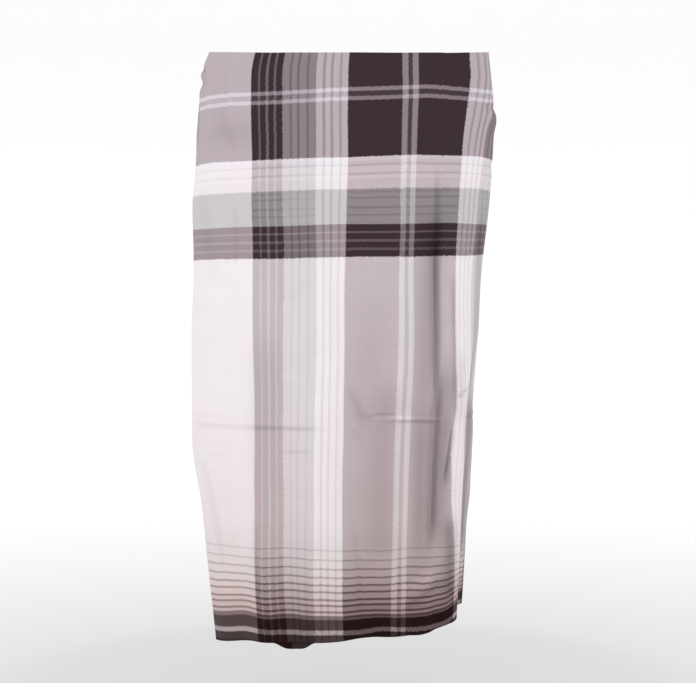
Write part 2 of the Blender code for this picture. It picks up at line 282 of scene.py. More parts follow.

# Creases: first the long valley beside the inner turn, then the press lines left by folding the cloth for
# storage, then what shows on the front, the right side, the back and the left side. Rows with no rise are
# only painted shade, and rows with a negative shade are painted highlights.
# turn, height, end turn, end height, width, rise
CREASES = (
    Crease(127.2, -0.195, 136.4, -0.640, 0.0058, -0.0046, fade=0.15, bow=-0.004),
    Crease(130.9, -0.330, 136.4, -0.640, 0.0064, -0.0034, fade=0.24, bow=-0.003),
    Crease(129.0, -0.270, 133.8, -0.620, 0.0100, 0.0, fade=0.25, shade=0.27),
    Crease(133.8, -0.570, 133.8, -0.900, 0.0085, 0.0, fade=0.20, shade=0.27),
    Crease(138.2, -0.550, 137.0, -0.885, 0.0056, -0.0060, fade=0.25, bow=0.0012, shade=0.06),
    Crease(127.2, -0.260, 128.0, -0.940, 0.0230, 0.0, fade=0.15, shade=0.24),
    Crease(128.4, -0.600, 128.0, -0.880, 0.0200, 0.0, shade=0.09),
    Crease(141.3, -0.512, 139.2, -0.900, 0.0130, 0.0, fade=0.23, shade=0.28),
    Crease(142.4, -0.620, 142.4, -0.780, 0.0110, 0.0, shade=0.10),
    Crease(143.8, -0.725, 145.2, -0.850, 0.0090, 0.0, fade=0.30, shade=0.11),
    Crease(146.2, -0.800, 148.2, -0.975, 0.0135, 0.0, fade=0.25, shade=0.41),
    Crease(141.6, -0.380, 148.6, -0.665, 0.0050, 0.0, fade=0.18, shade=0.22),
    Crease(145.4, -0.540, 144.6, -0.700, 0.0080, 0.0, shade=0.12),
    Crease(151.5, -0.500, 153.0, -0.680, 0.0110, 0.0, fade=0.35, shade=0.14),
    Crease(130.5, -0.205, 143.5, -0.630, 0.0090, 0.0025),
    Crease(147.8, -0.645, 142.6, -0.765, 0.0040, -0.0052, fade=0.30, shade=0.12),
    Crease(151.0, -0.650, 145.5, -0.790, 0.0070, 0.0028),
    Crease(163.0, -0.588, 147.0, -0.610, 0.0030, -0.0022, shade=0.10),
    Crease(144.5, -0.480, 149.5, -0.610, 0.0050, 0.0020),
    Crease(8.0, -0.6550, 90.0, -0.6600, 0.0042, -0.0009, fade=0.12, shade=0.03),
    Crease(50.0, -0.6570, 86.0, -0.6597, 0.0034, -0.0006, fade=0.25, shade=0.05),
    Crease(12.0, -0.6485, 88.0, -0.6540, 0.0045, 0.0014, fade=0.20),
    Crease(68.0, -0.6970, 84.0, -0.6980, 0.0030, -0.0010, shade=0.04),
    Crease(102.4, -0.6410, 105.8, -0.6345, 0.0026, -0.0012, shade=0.10),
    Crease(104.4, -0.6350, 117.0, -0.6335, 0.0026, -0.0010, shade=0.06),
    Crease(104.6, -0.6420, 141.0, -0.6450, 0.0030, 0.0022, fade=0.08, bow=-0.002, shade=-0.05),
    Crease(110.0, -0.6410, 124.0, -0.6410, 0.0030, 0.0010, bow=-0.001, shade=-0.14),
    Crease(110.0, -0.6480, 141.0, -0.6500, 0.0028, -0.0017, fade=0.30, bow=-0.002, shade=0.05),
    Crease(94.6, -0.580, 103.0, -0.655, 0.0070, -0.0017, shade=0.03),
    Crease(96.0, -0.585, 104.0, -0.670, 0.0110, 0.0, shade=0.07),
    Crease(98.0, -0.590, 107.0, -0.668, 0.0060, 0.0014),
    Crease(96.5, -0.655, 102.5, -0.682, 0.0030, -0.0010),
    Crease(336.0, -0.054, 22.0, -0.060, 0.0100, -0.0052),
    Crease(0.0, -0.028, 16.0, -0.041, 0.0044, -0.0026, shade=0.16),
    Crease(7.5, -0.080, 9.0, -0.170, 0.0060, -0.0012, shade=0.20),
    Crease(28.0, -0.095, 45.0, -0.200, 0.0120, -0.0028),
    Crease(34.0, -0.080, 53.0, -0.190, 0.0120, 0.0030),
    Crease(20.0, -0.230, 33.0, -0.420, 0.0120, -0.0020),
    Crease(31.0, -0.420, 24.0, -0.610, 0.0130, 0.0022),
    Crease(17.0, -0.690, 30.0, -0.930, 0.0120, -0.0035),
    Crease(40.0, -0.730, 47.0, -0.980, 0.0110, 0.0030),
    Crease(54.5, -0.780, 53.5, -1.010, 0.0030, -0.0022, fade=0.35),
    Crease(62.0, -0.300, 58.0, -0.560, 0.0100, 0.0014),
    Crease(76.0, -0.760, 81.0, -1.000, 0.0090, 0.0024),
    Crease(86.5, -0.340, 90.0, -0.560, 0.0110, -0.0014),
    Crease(97.0, -0.800, 101.0, -1.010, 0.0070, -0.0026),
    Crease(108.0, -0.120, 120.0, -0.330, 0.0120, 0.0016),
    Crease(104.0, -0.340, 103.5, -1.020, 0.0420, 0.0, fade=0.35, shade=0.11),
    Crease(112.0, -0.560, 110.5, -0.900, 0.0260, 0.0, fade=0.15, shade=0.15),
    Crease(45.6, -0.262, 47.0, -0.392, 0.0034, 0.0, shade=0.09),
    Crease(58.9, -0.470, 58.9, -0.800, 0.0150, 0.0, fade=0.25, shade=0.11),
    Crease(65.4, -0.470, 65.4, -0.800, 0.0150, 0.0, fade=0.25, shade=0.11),
    Crease(58.9, -0.720, 54.4, -0.965, 0.0150, 0.0, fade=0.30, shade=0.07),
    Crease(65.4, -0.720, 60.8, -0.965, 0.0150, 0.0, fade=0.30, shade=0.07),
    Crease(22.0, -0.152, 60.0, -0.156, 0.0190, 0.0, fade=0.15, shade=0.08),
    Crease(117.0, -0.974, 149.0, -0.920, 0.0060, -0.0032, shade=0.10),
    Crease(118.0, -0.944, 142.0, -0.905, 0.0120, 0.0024, shade=-0.22),
    Crease(150.0, -0.104, 190.0, -0.100, 0.0060, -0.0026),
    Crease(154.0, -0.112, 200.0, -0.130, 0.0170, 0.0046),
    Crease(160.0, -0.195, 202.0, -0.212, 0.0070, -0.0024),
    Crease(162.5, -0.270, 170.0, -0.620, 0.0120, 0.0, fade=0.20, shade=0.32),
    Crease(170.0, -0.570, 176.0, -0.917, 0.0220, 0.0, fade=0.22, shade=0.54),
    Crease(163.0, -0.300, 176.0, -0.560, 0.0100, 0.0030),
    Crease(172.0, -0.480, 160.0, -0.740, 0.0090, -0.0035),
    Crease(176.0, -0.600, 190.0, -0.850, 0.0110, 0.0040),
    Crease(158.0, -0.641, 262.0, -0.652, 0.0030, -0.0011, fade=0.20, bow=0.002, shade=0.06),
    Crease(160.0, -0.634, 258.0, -0.645, 0.0050, 0.0009, fade=0.20, bow=0.002),
    Crease(196.0, -0.060, 222.0, -0.270, 0.0130, -0.0040),
    Crease(206.0, -0.180, 231.0, -0.420, 0.0140, 0.0034),
    Crease(214.0, -0.500, 206.0, -0.780, 0.0110, -0.0034),
    Crease(228.0, -0.700, 235.0, -0.960, 0.0110, 0.0040),
    Crease(240.0, -0.110, 258.0, -0.360, 0.0130, -0.0034),
    Crease(252.0, -0.420, 244.0, -0.640, 0.0110, 0.0026),
    Crease(262.0, -0.760, 259.0, -0.990, 0.0090, -0.0034),
    Crease(276.0, -0.190, 292.0, -0.430, 0.0130, 0.0032),
    Crease(284.0, -0.656, 352.0, -0.658, 0.0024, -0.0015, fade=0.15, bow=-0.002),
    Crease(282.0, -0.650, 348.0, -0.652, 0.0045, 0.0012, fade=0.15, bow=-0.002),
    Crease(286.0, -0.560, 301.0, -0.800, 0.0120, -0.0036),
    Crease(303.0, -0.120, 322.0, -0.330, 0.0120, -0.0034),
    Crease(312.0, -0.360, 330.0, -0.600, 0.0130, 0.0032),
    Crease(326.0, -0.720, 320.0, -0.980, 0.0110, 0.0036),
    Crease(344.0, -0.240, 352.0, -0.520, 0.0110, -0.0030),
)
DEEP_SLOPE = 1.5             # depth over width of a crease whose bottom gets the full painted shade
HOLLOW_SHADE = 0.30          # how much darker that bottom is painted: painted shade in place of its shadow

# waves round, length down, rise, phase
RIPPLES = (
    Ripple(5, 1.30, 0.0011, 0.4),
    Ripple(11, -0.74, 0.0006, 1.9),
    Ripple(23, 0.46, 0.0003, 2.7),
)

# Where the soft fold edge at the left bulges: height, rise, reach
EDGE_BULGES = (
    Bulge(-0.004, -0.0020, 0.012),
    Bulge(-0.045, 0.0020, 0.011),
    Bulge(-0.088, -0.0012, 0.012),
    Bulge(-0.150, 0.0010, 0.016),
    Bulge(-0.265, 0.0010, 0.030),
    Bulge(-0.470, 0.0008, 0.040),
    Bulge(-0.735, 0.0010, 0.030),
)

# Woven chart. The upright stripes repeat around the tube and mirror about the pair of light lines, so
# their ends are distances from the middle of that pair; the level stripes run once, from the waist edge
# down, in metres of cloth. A stripe has its end, its share of pale threads and its cover.
REPEAT = 0.720
PAIR_MIDDLE = 0.274          # of the first repeat, where 0 is the left edge of the dark striped group
MARKS = (0.0, 0.056, 0.116, 0.168, 0.260, 0.288, 0.380, 0.432)   # places of the edges in StripeTurns
SEAM_PLACE = 0.800           # place of the seam in the chart, just past two dark striped groups
FOLD_EDGE_PLACE = -0.146     # place of the fold edge, about the middle of its height

UPRIGHT_CHARTS = (
    Chart(0.0, (
        Stripe(0.0035, 0.06),
        Stripe(0.0136, 0.49),
        Stripe(0.1060, 0.00),
    )),
    Chart(0.1060, (
        Stripe(0.1158, 0.97),
        Stripe(0.1200, 0.66),
        Stripe(0.1297, 0.99),
        Stripe(0.1339, 0.62),
        Stripe(0.1429, 0.99),
        Stripe(0.1471, 0.62),
        Stripe(0.1580, 0.98),
        Stripe(0.1710, 0.46),
        Stripe(0.1750, 0.29),
        Stripe(0.1870, 0.48),
        Stripe(0.1912, 0.26),
        Stripe(0.2002, 0.48),
        Stripe(0.2044, 0.28),
        Stripe(0.2180, 0.45),
        Stripe(0.2283, 0.00),
        Stripe(0.2327, 0.21),
        Stripe(0.2423, 0.00),
        Stripe(0.2467, 0.25),
        Stripe(0.2566, 0.00),
        Stripe(0.2608, 0.19),
        Stripe(0.2740, 0.00),
        Stripe(0.2780, 1.00),
    )),
)

LEVEL_CHARTS = (
    Chart(0.0, (
        Stripe(0.0829, 0.00, 0.40),
        Stripe(0.0897, 0.56, 0.42, pale="rose"),
        Stripe(0.0980, 0.05, 0.40),
        Stripe(0.1048, 0.53, 0.42, pale="rose"),
        Stripe(0.1900, 0.00, 0.40),
    )),
    Chart(0.1900, (
        Stripe(0.2015, 0.00, 0.40),
        Stripe(0.2075, 1.00, 0.64),
        Stripe(0.2135, 1.00, 0.58),
        Stripe(0.2171, 0.90, 0.50),
        Stripe(0.2284, 1.00, 0.61),
        Stripe(0.2320, 0.92, 0.51),
        Stripe(0.2380, 1.00, 0.63),
        Stripe(0.2480, 0.98, 0.58),
        Stripe(0.2552, 0.95, 0.60),
        Stripe(0.2584, 1.00, 0.56, pale="grey"),
        Stripe(0.2618, 0.90, 0.50, pale="grey"),
        Stripe(0.2680, 1.00, 0.57, pale="grey"),
        Stripe(0.2716, 0.86, 0.47, pale="grey"),
        Stripe(0.2840, 1.00, 0.57, pale="grey"),
        Stripe(0.2876, 0.88, 0.47, pale="grey"),
        Stripe(0.2963, 1.00, 0.56, pale="grey"),
        Stripe(0.2998, 0.88, 0.48, pale="grey"),
        Stripe(0.3139, 1.00, 0.56, pale="grey"),
        Stripe(0.3255, 0.00, 0.58),
        Stripe(0.3283, 0.16, 0.58),
        Stripe(0.3391, 0.00, 0.58),
        Stripe(0.3429, 0.14, 0.58),
        Stripe(0.3527, 0.00, 0.58),
        Stripe(0.3573, 0.12, 0.58),
        Stripe(0.3685, 0.00, 0.58),
        Stripe(0.3800, 1.00, 0.58),
    )),
    Chart(0.8600, (
        Stripe(0.8628, 1.00, 0.60),
        Stripe(0.8652, 0.70, 0.60),
        Stripe(0.8791, 1.00, 0.58),
        Stripe(0.8815, 0.53, 0.58),
        Stripe(0.8943, 0.98, 0.55),
        Stripe(0.8969, 0.38, 0.58),
        Stripe(0.9084, 0.95, 0.53),
        Stripe(0.9112, 0.28, 0.59),
        Stripe(0.9208, 0.92, 0.51),
        Stripe(0.9240, 0.20, 0.58),
        Stripe(0.9320, 0.86, 0.49),
        Stripe(0.9354, 0.15, 0.60),
        Stripe(0.9448, 0.76, 0.48),
        Stripe(0.9484, 0.10, 0.62),
        Stripe(0.9542, 0.68, 0.48),
        Stripe(0.9578, 0.08, 0.64),
        Stripe(0.9649, 0.55, 0.50),
        Stripe(0.9687, 0.06, 0.67),
        Stripe(0.9731, 0.50, 0.54),
        Stripe(0.9773, 0.04, 0.76),
        Stripe(0.9803, 0.10, 0.86),
    )),
    Chart(0.9803, (
        Stripe(0.9984, 0.00, 0.905),
        Stripe(1.0064, 0.18, 0.60),
        Stripe(1.0190, 0.00, 0.935),
        Stripe(1.0400, 0.00, 0.97),
    )),
)

# How the tint of the whole weave changes down the cloth: rosier and darker towards the hem, the darkening
# partly painted shade of light that falls off downwards. Place, red, green, blue
CASTS_AND_SHADE = (
    Cast(0.000, 1.00, 1.000, 1.020),
    Cast(0.190, 1.00, 1.000, 1.020),
    Cast(0.235, 1.00, 0.980, 0.975),
    Cast(0.290, 1.00, 0.980, 0.980),
    Cast(0.345, 1.00, 0.970, 0.955),
    Cast(0.390, 1.00, 1.000, 1.000),
    Cast(0.580, 1.00, 0.980, 0.985),
    Cast(0.700, 0.985, 0.942, 0.930),
    Cast(0.800, 0.955, 0.911, 0.890),
    Cast(0.880, 0.87, 0.820, 0.795),
    Cast(0.905, 0.87, 0.800, 0.765),
    Cast(0.935, 0.87, 0.770, 0.725),
    Cast(0.965, 0.89, 0.750, 0.705),
    Cast(0.990, 0.95, 0.785, 0.775),
    Cast(1.030, 0.95, 0.785, 0.775),
)

# height, striped, grey, light, panel, pair, pair end, panel end, light end
STRIPE_TURNS = (
    StripeTurns(-0.050, 49.9, 64.3, 78.0, 90.1, 111.1, 118.0, 145.8, 176.0),
    StripeTurns(-0.152, 51.7, 65.5, 78.7, 90.4, 111.0, 117.5, 140.9, 159.0),
    StripeTurns(-0.230, 53.3, 66.4, 79.6, 91.4, 111.7, 118.2, 140.6, 155.5),
    StripeTurns(-0.330, 54.9, 68.3, 81.1, 92.4, 113.5, 119.7, 142.1, 156.5),
    StripeTurns(-0.424, 55.6, 69.0, 82.1, 92.8, 114.4, 121.0, 144.0, 156.5),
    StripeTurns(-0.545, 56.9, 69.5, 82.9, 93.7, 115.3, 122.4, 145.9, 161.0),
    StripeTurns(-0.612, 57.4, 69.8, 82.8, 93.9, 115.3, 122.3, 148.4, 165.5),
    StripeTurns(-0.695, 57.6, 69.8, 82.6, 94.1, 115.2, 122.1, 146.4, 164.0),
    StripeTurns(-0.763, 55.5, 68.4, 81.6, 93.1, 114.9, 121.6, 146.6, 160.5),
    StripeTurns(-0.881, 53.3, 66.1, 80.2, 92.1, 114.4, 120.9, 150.6, 160.0),
    StripeTurns(-0.940, 52.6, 65.4, 79.6, 91.7, 114.3, 121.0, 151.0, 160.0),
)

# The woven lines lie oblique to the waist edge and ripple a little: height, then a drop at each turn
SLANT_TURNS = (0, 30, 50, 57, 66, 80, 90, 100, 110, 120, 135, 150, 175, 360)
SLANTS = (
    Slant(-0.086, 2.5, 3.0, 3.8, 4.0, 3.9, 1.9, 0.0, -2.1, -4.6, -7.5, -8.3, -8.0, -13.0),
    Slant(-0.202, 2.6, 1.4, 2.0, 1.7, 1.1, 0.1, 0.0, -2.0, -4.6, -6.3, -8.0, -9.6, -9.0),
    Slant(-0.314, 1.0, 3.0, 2.9, 2.8, 2.5, 0.9, 0.0, -0.6, -1.4, -2.8, -5.7, -6.2, -9.0),
    Slant(-0.368, 0.5, 1.2, 2.1, 2.3, 2.2, 0.8, 0.0, -0.6, -1.2, -2.0, -4.9, -6.2, -12.0),
    Slant(-0.620, 0.0, 0.0, 0.5, 0.6, 0.5, 0.0, 0.0, 0.1, 0.0, -0.5, -1.5, -2.0, -4.0),
    Slant(-0.864, -1.5, -1.7, -2.0, -2.3, -3.8, -1.1, 0.2, 0.7, 2.4, -0.9, 1.0, 2.5, 2.0),
    Slant(-0.922, -2.0, -2.2, -2.4, -1.1, -3.5, -0.6, 0.3, 0.0, 2.9, -0.3, 3.0, 2.3, 1.5),
    Slant(-0.942, -2.4, -2.4, -2.2, -0.7, -2.8, -0.3, 0.7, 0.0, 3.3, 1.0, 3.1, 2.1, 1.1),
    Slant(-0.968, -3.0, -2.6, -2.0, 0.0, -2.6, 0.1, 0.9, -0.8, 3.2, 2.4, 1.5, 1.2, 0.5),
    Slant(-1.003, 0.0, 0.0, 0.0, 0.0, 0.0, 0.0, 0.0, 0.0, 0.0, 0.0, 0.0, 0.0, 0.0),
)
MILLIMETRE = 0.001

# The light line above the hem, as turn and height, and where the level lines begin to bend towards it
HEM_LINE_PLACE = 1.0026
HEM_LINE = (
    HemPoint(0, -1.0135),
    HemPoint(20, -1.0098),
    HemPoint(33, -1.0058),
    HemPoint(50, -1.0025),
    HemPoint(63, -1.0029),
    HemPoint(73, -1.0049),
    HemPoint(86, -1.0026),
    HemPoint(98, -1.0040),
    HemPoint(113, -1.0006),
    HemPoint(129, -1.0044),
    HemPoint(140, -1.0018),
    HemPoint(145, -0.9980),
    HemPoint(149, -0.9905),
    HemPoint(175, -0.9745),
    HemPoint(205, -0.9750),
    HemPoint(250, -0.9900),
    HemPoint(300, -1.0020),
    HemPoint(360, -1.0135),
)
BEND_START = -0.86
BEND_END = -0.985

# Camera, level and square to the front
CAMERA_PLACE = (0.00925, -2.73, -0.511)
CAMERA_LENS = 80.0
SENSOR_WIDTH = 36.0


def length_setting(name, description, default, low, high, precision=4):
    """Describes a setting that is a length."""
    return FloatProperty(name=name, description=description, default=default, min=low, max=high,
                         precision=precision, unit="LENGTH")


def share_setting(name, description, default, high=1.0):
    """Describes a setting that is a share, from 0 on."""
    return FloatProperty(name=name, description=description, default=default, min=0.0, max=high,
                         subtype="FACTOR")


def power_setting(name, description, default):
    """Describes the power of a lamp."""
    return FloatProperty(name=name, description=description, default=default, min=0.0, max=500.0,
                         unit="POWER")


def count_setting(name, description, default, low, high):
    """Describes a number of rows or columns."""
    return IntProperty(name=name, description=description, default=default, min=low, max=high)


def colour_setting(name, description, *default):
    """Describes a colour."""
    return FloatVectorProperty(name=name, description=description, default=default, size=3, min=0.0,
                               max=1.0, subtype="COLOR")


class SarongCloth(bpy.types.PropertyGroup):
    """Sizes of the cloth and of the grid that it is worked out on."""
    thickness: length_setting(
        "Thickness", "Thickness of one layer of the cotton", 0.0005, 0.0002, 0.0010)
    selvedge_thickness: length_setting(
        "Selvedge thickness", "Thickness of the cloth at its two woven edges", 0.0009, 0.0002, 0.0014)
    selvedge_width: length_setting(
        "Selvedge width", "Distance over which the cloth thickens to its woven edge", 0.0040, 0.001, 0.020)
    relief: share_setting("Crease relief", "Share of their full depth that the creases have", 1.0, 1.5)
    rows: count_setting("Rows", "Rows of the grid from the waist edge to the hem", 200, 40, 240)
    front_columns: count_setting("Front columns", "Columns across each layer of the front", 112, 24, 140)
    right_columns: count_setting(
        "Right columns", "Columns from the inner turn round the right side to the seam", 84, 20, 110)
    left_columns: count_setting(
        "Left columns", "Columns from the seam round the left side to the fold edge", 62, 16, 90)
    roll_columns: count_setting("Roll columns", "Columns round a fold", 8, 3, 16)


class SarongYarn(bpy.types.PropertyGroup):
    """Colours of the threads and how evenly they are spun."""
    dark: colour_setting("Dark thread", "Dark plum brown cotton", 0.046, 0.031, 0.037)
    hem_dark: colour_setting("Dark hem thread", "Nearly black cotton of the hem band", 0.012, 0.004, 0.003)
    upright_white: colour_setting("White upright thread", "Bleached cotton", 0.830, 0.795, 0.826)
    level_white: colour_setting("White level thread", "Bleached cotton", 0.970, 0.930, 0.965)
    grey: colour_setting("Grey thread", "Grey cotton of one level band", 0.480, 0.485, 0.505)
    rose: colour_setting(
        "Rose thread", "Faintly rosy cotton of the two lines near the waist edge", 0.970, 0.850, 0.930)
    bled: colour_setting(
        "Bled tint", "Tint where dark threads cross pale ones and their dye has bled", 1.000, 0.915, 0.925)
    cool_cast: colour_setting(
        "Cool streak", "Cast of the cooler streaks along the upright threads", 0.965, 0.995, 0.990)
    rosy_cast: colour_setting(
        "Rosy streak", "Cast of the rosier streaks along the upright threads", 1.000, 0.965, 0.970)
    slub: share_setting("Slub", "How much single threads differ in tone", 0.22)
    fray: length_setting(
        "Fray", "How far single threads carry a stripe's edge to and fro", 0.0075, 0.0, 0.0200)
    thread_pitch: length_setting("Thread pitch", "Distance between two threads", 0.0009, 0.0003, 0.0030)
    crinkle: length_setting("Crinkle", "Height of the fine crinkles left by washing", 0.0005, 0.0, 0.0020)
    roughness: share_setting("Roughness", "Roughness of the matt cotton", 0.86)


class SarongSewing(bpy.types.PropertyGroup):
    """Sizes of the felled seam at the back and of its stitches."""
    seam_width: length_setting("Seam width", "Width of the felled seam", 0.0100, 0.0040, 0.0200)
    seam_thickness: length_setting(
        "Seam thickness", "Thickness of the four layers sewn together", 0.0022, 0.0010, 0.0040)
    stitch_pitch: length_setting(
        "Stitch pitch", "Distance between two stitches of a row", 0.0034, 0.0020, 0.0080)
    stitch_length: length_setting("Stitch length", "Length of one stitch", 0.0026, 0.0010, 0.0070)
    thread_radius: length_setting(
        "Thread radius", "Half the thickness of the sewing thread", 0.00024, 0.0001, 0.0008, 5)
    row_inset: length_setting(
        "Row inset", "Distance of each row of stitches from the edge of the seam", 0.0018, 0.0005, 0.0050)
    thread: colour_setting("Sewing thread", "Greyish white sewing cotton", 0.62, 0.57, 0.59)


class SarongStudio(bpy.types.PropertyGroup):
    """The floor, the backdrop and the lamps."""
    floor_drop: length_setting(
        "Floor drop", "Distance from the lowest point of the cloth to the floor", 0.086, 0.0, 1.0, 2)
    floor_radius: length_setting("Floor radius", "Radius of the flat part of the floor", 3.4, 1.0, 10.0, 2)
    wall_height: length_setting("Wall height", "Height to which the backdrop curves up", 4.0, 1.0, 10.0, 2)
    near_white: share_setting("Near glow", "Glow of the floor under the cloth", 0.655, 1.5)
    far_white: share_setting("Far glow", "Glow of the backdrop", 0.97, 1.5)
    sky: FloatProperty(
        name="Sky strength", description="Strength of the even light from all round",
        default=0.89, min=0.0, max=3.0)
    key_power: power_setting("Key power", "Power of the large soft lamp at the upper left", 14.0)
    fill_power: power_setting("Fill power", "Power of the wide lamp in front", 9.0)


def column(rows, name):
    """Gives one named column of a table as an array."""
    return np.array([getattr(row, name) for row in rows])


def smooth_between(knots, values, places):
    """Carries a cubic curve through the values at rising knots, with the slopes of the neighbouring
    knots, so that it has no corner at a knot."""
    slopes = np.gradient(values, knots)
    places = np.clip(places, knots[0], knots[-1])
    index = np.clip(np.searchsorted(knots, places, side="right") - 1, 0, len(knots) - 2)
    span = (knots[1:] - knots[:-1])[index]
    t = (places - knots[index]) / span
    start, end = values[index], values[index + 1]
    start_slope, end_slope = slopes[index] * span, slopes[index + 1] * span
    return (start * (1 + 2 * t) * (1 - t) ** 2 + start_slope * t * (1 - t) ** 2
            + end * t ** 2 * (3 - 2 * t) + end_slope * t ** 2 * (t - 1))


def at_height(heights, values, height):
    """Reads a smooth value at a height from a table that runs downwards."""
    return smooth_between(np.array(heights)[::-1], np.array(values)[::-1], height)


def column_at(rows, name, height):
    """Reads one column of such a table at a height."""
    return at_height(column(rows, "height"), column(rows, name), height)


def smooth_step(value):
    """Rises softly from 0 to 1 as the value does."""
    value = np.clip(value, 0.0, 1.0)
    return value * value * (3 - 2 * value)


def bell(away, reach):
    """Gives 1 in the middle and falls to about a third one reach away."""
    return np.exp(-(away / reach) ** 2)


def plateau(away, reach):
    """Gives 1 over most of the reach and falls steeply near its end."""
    return np.exp(-(away / reach) ** 4)


def around_zero(value, period):
    """Brings a value that repeats with a period to between minus and plus half of it."""
    return np.mod(value + period / 2, period) - period / 2


def rim_height(turn):
    """Gives the height of the waist edge: level, with a dip at the front that follows a sine."""
    return -RIM_DIP * np.clip(np.sin(np.radians(turn)), 0.0, None)


def line_height(points, turn):
    """Gives the height of the hem, or of a woven line, around the cloth."""
    return smooth_between(column(points, "turn"), column(points, "height"), np.mod(turn, FULL_TURN))


def inner_turn(height):
    """Gives the turn at which the inner layers fold back under the front."""
    return at_height(INNER_TURN_HEIGHTS, INNER_TURNS, height)


def oval(turn, height):
    """Gives x and y of the plain level cut: an oval whose half width is half the distance from left to
    right, whose depth is its own at the front and at the back, and whose right side is carried back."""
    angle = np.radians(turn)
    left, right, front, back, skew = (column_at(SECTIONS, name, height) for name in Section._fields[1:])
    depth = np.where(np.sin(angle) > 0, front, back)
    x = (left + right) / 2 - (right - left) / 2 * np.cos(angle)
    y = -depth * np.sin(angle) + skew * (1 - np.cos(angle)) / 2
    return x, y


def fold_rise(turn, height):
    """Adds up how far the upright folds stand out at a place, each one a bell across its width."""
    rise = np.zeros(np.broadcast(turn, height).shape)
    down = np.clip(height / FOLD_HEIGHTS[-1], 0.0, 1.0)
    for fold in FOLDS:
        middle = fold.rim_turn + (fold.hem_turn - fold.rim_turn) * down
        away = around_zero(turn - middle, FULL_TURN)
        rise += at_height(FOLD_HEIGHTS, fold.rises, height) * bell(away, fold.reach)
    return rise


def outward(place, turn, height):
    """Gives the level direction that points out of the cloth, from two places close on either side."""
    x0, y0 = place(turn - SLOPE_STEP, height)
    x1, y1 = place(turn + SLOPE_STEP, height)
    length = np.hypot(x1 - x0, y1 - y0)
    return (y1 - y0) / length, -(x1 - x0) / length


def folded_oval(turn, height):
    """Gives x and y of the inner layer: the oval, moved out by the rise of its folds."""
    x, y = oval(turn, height)
    out_x, out_y = outward(oval, turn, height)
    rise = fold_rise(turn, height)
    return x + out_x * rise, y + out_y * rise


def ring_table():
    """Gives turns round the oval at mid height and the length of cloth up to each of them."""
    turn = np.linspace(0.0, FULL_TURN, RING_STEPS + 1)
    x, y = oval(turn, np.full(turn.shape, FOLD_HEIGHTS[-1] / 2))
    return turn, np.concatenate([[0.0], np.cumsum(np.hypot(np.diff(x), np.diff(y)))])


RING_TURNS, RING_LENGTHS = ring_table()
RING = RING_LENGTHS[-1]


def ring_length(turn):
    """Gives the length of cloth from the left side to a turn, at mid height."""
    return np.interp(np.mod(turn, FULL_TURN), RING_TURNS, RING_LENGTHS)


def crease_parts(crease, around, height):
    """Gives one crease's strength at places on the unrolled cloth: a bell across its width, times a soft
    rise and fall along its length, on a middle line bowed as a parabola."""
    run = around_zero(ring_length(crease.end_turn) - ring_length(crease.turn), RING)
    drop = crease.end_height - crease.height
    length = math.hypot(run, drop)
    side = around_zero(around - ring_length(crease.turn), RING)
    down = height - crease.height
    along = (side * run + down * drop) / length ** 2
    across = (side * drop - down * run) / length - 4 * crease.bow * along * (1 - along)
    ends = smooth_step(along / crease.fade) * smooth_step((1 - along) / crease.fade)
    return ends * bell(across, crease.width)


def creases(turn, height):
    """Adds up the creases and ripples at a place, and the painted shade there: each crease's own painted
    shade along it, and more painted shade the steeper a trough is, in place of the shadow in its bottom."""
    around = ring_length(turn)
    rise = np.zeros(np.broadcast(turn, height).shape)
    shade = np.zeros_like(rise)
    for crease in CREASES:
        part = crease_parts(crease, around, height)
        steepness = min(1.0, max(0.0, -crease.rise / crease.width / DEEP_SLOPE))
        rise += crease.rise * part
        shade += (crease.shade + HOLLOW_SHADE * steepness) * part
    for ripple in RIPPLES:
        angle = 2 * math.pi * (ripple.waves_round * around / RING + height / ripple.length_down)
        rise += ripple.rise * np.sin(angle + ripple.phase)
    return rise, np.minimum(shade, 1.0)


def layer(turn, height, lift):
    """Gives x and y of a layer that lies the lift outside the inner one."""
    x, y = folded_oval(turn, height)
    out_x, out_y = outward(folded_oval, turn, height)
    return x + out_x * lift, y + out_y * lift


def edge_roll(height):
    """Gives how far the soft fold edge stands out, with its bulges."""
    roll = np.full(np.shape(height), FOLD_ROLL)
    for bulge in EDGE_BULGES:
        roll = roll + bulge.rise * bell(height - bulge.height, bulge.reach)
    return roll


def outside_lift(turn, height):
    """Gives how far the outside layer lies out: proud at its fold edge, two layers up across the
    front, and down on nothing past the inner turn."""
    roll = edge_roll(height) * np.exp(-(turn - FOLD_TURN) / FOLD_ROLL_REACH)
    past = turn - inner_turn(height) - STEP_START
    return (2 * LAYER_PITCH + roll) * (1 - smooth_step(past / STEP_REACH))


def fold_round(turn, height, low, high, towards, columns):
    """Gives x and y of a half circle from the low lift to the high one, bulging left (-1) or right (1)."""
    x, y = layer(turn, height, (low + high) / 2)
    out_x, out_y = outward(folded_oval, turn, height)
    along_x, along_y = -out_y, out_x
    radius = (high - low) / 2
    angle = np.linspace(-math.pi / 2, math.pi / 2, columns + 1)[None, :]
    side, out = towards * radius * np.cos(angle), radius * np.sin(angle)
    return x + along_x * side + out_x * out, y + along_y * side + out_y * out


def shifted_turn(turn, height, lift, distance):
    """Moves a turn along its layer by a distance."""
    x0, y0 = layer(turn - SLOPE_STEP, height, lift)
    x1, y1 = layer(turn + SLOPE_STEP, height, lift)
    return turn + distance * 2 * SLOPE_STEP / np.hypot(x1 - x0, y1 - y0)


def crowded(count, crowds):
    """Spreads places from 0 to 1, closer together near each crowd: their density is 1 plus the bells of
    the crowds, and the places cut its running sum into equal shares."""
    fine = np.linspace(0.0, 1.0, CROWD_STEPS + 1)
    density = 1 + sum(crowd.strength * bell(fine - crowd.middle, crowd.reach) for crowd in crowds)
    total = np.concatenate([[0.0], np.cumsum((density[1:] + density[:-1]) / 2)])
    return np.interp(np.linspace(0.0, total[-1], count + 1), total, fine)


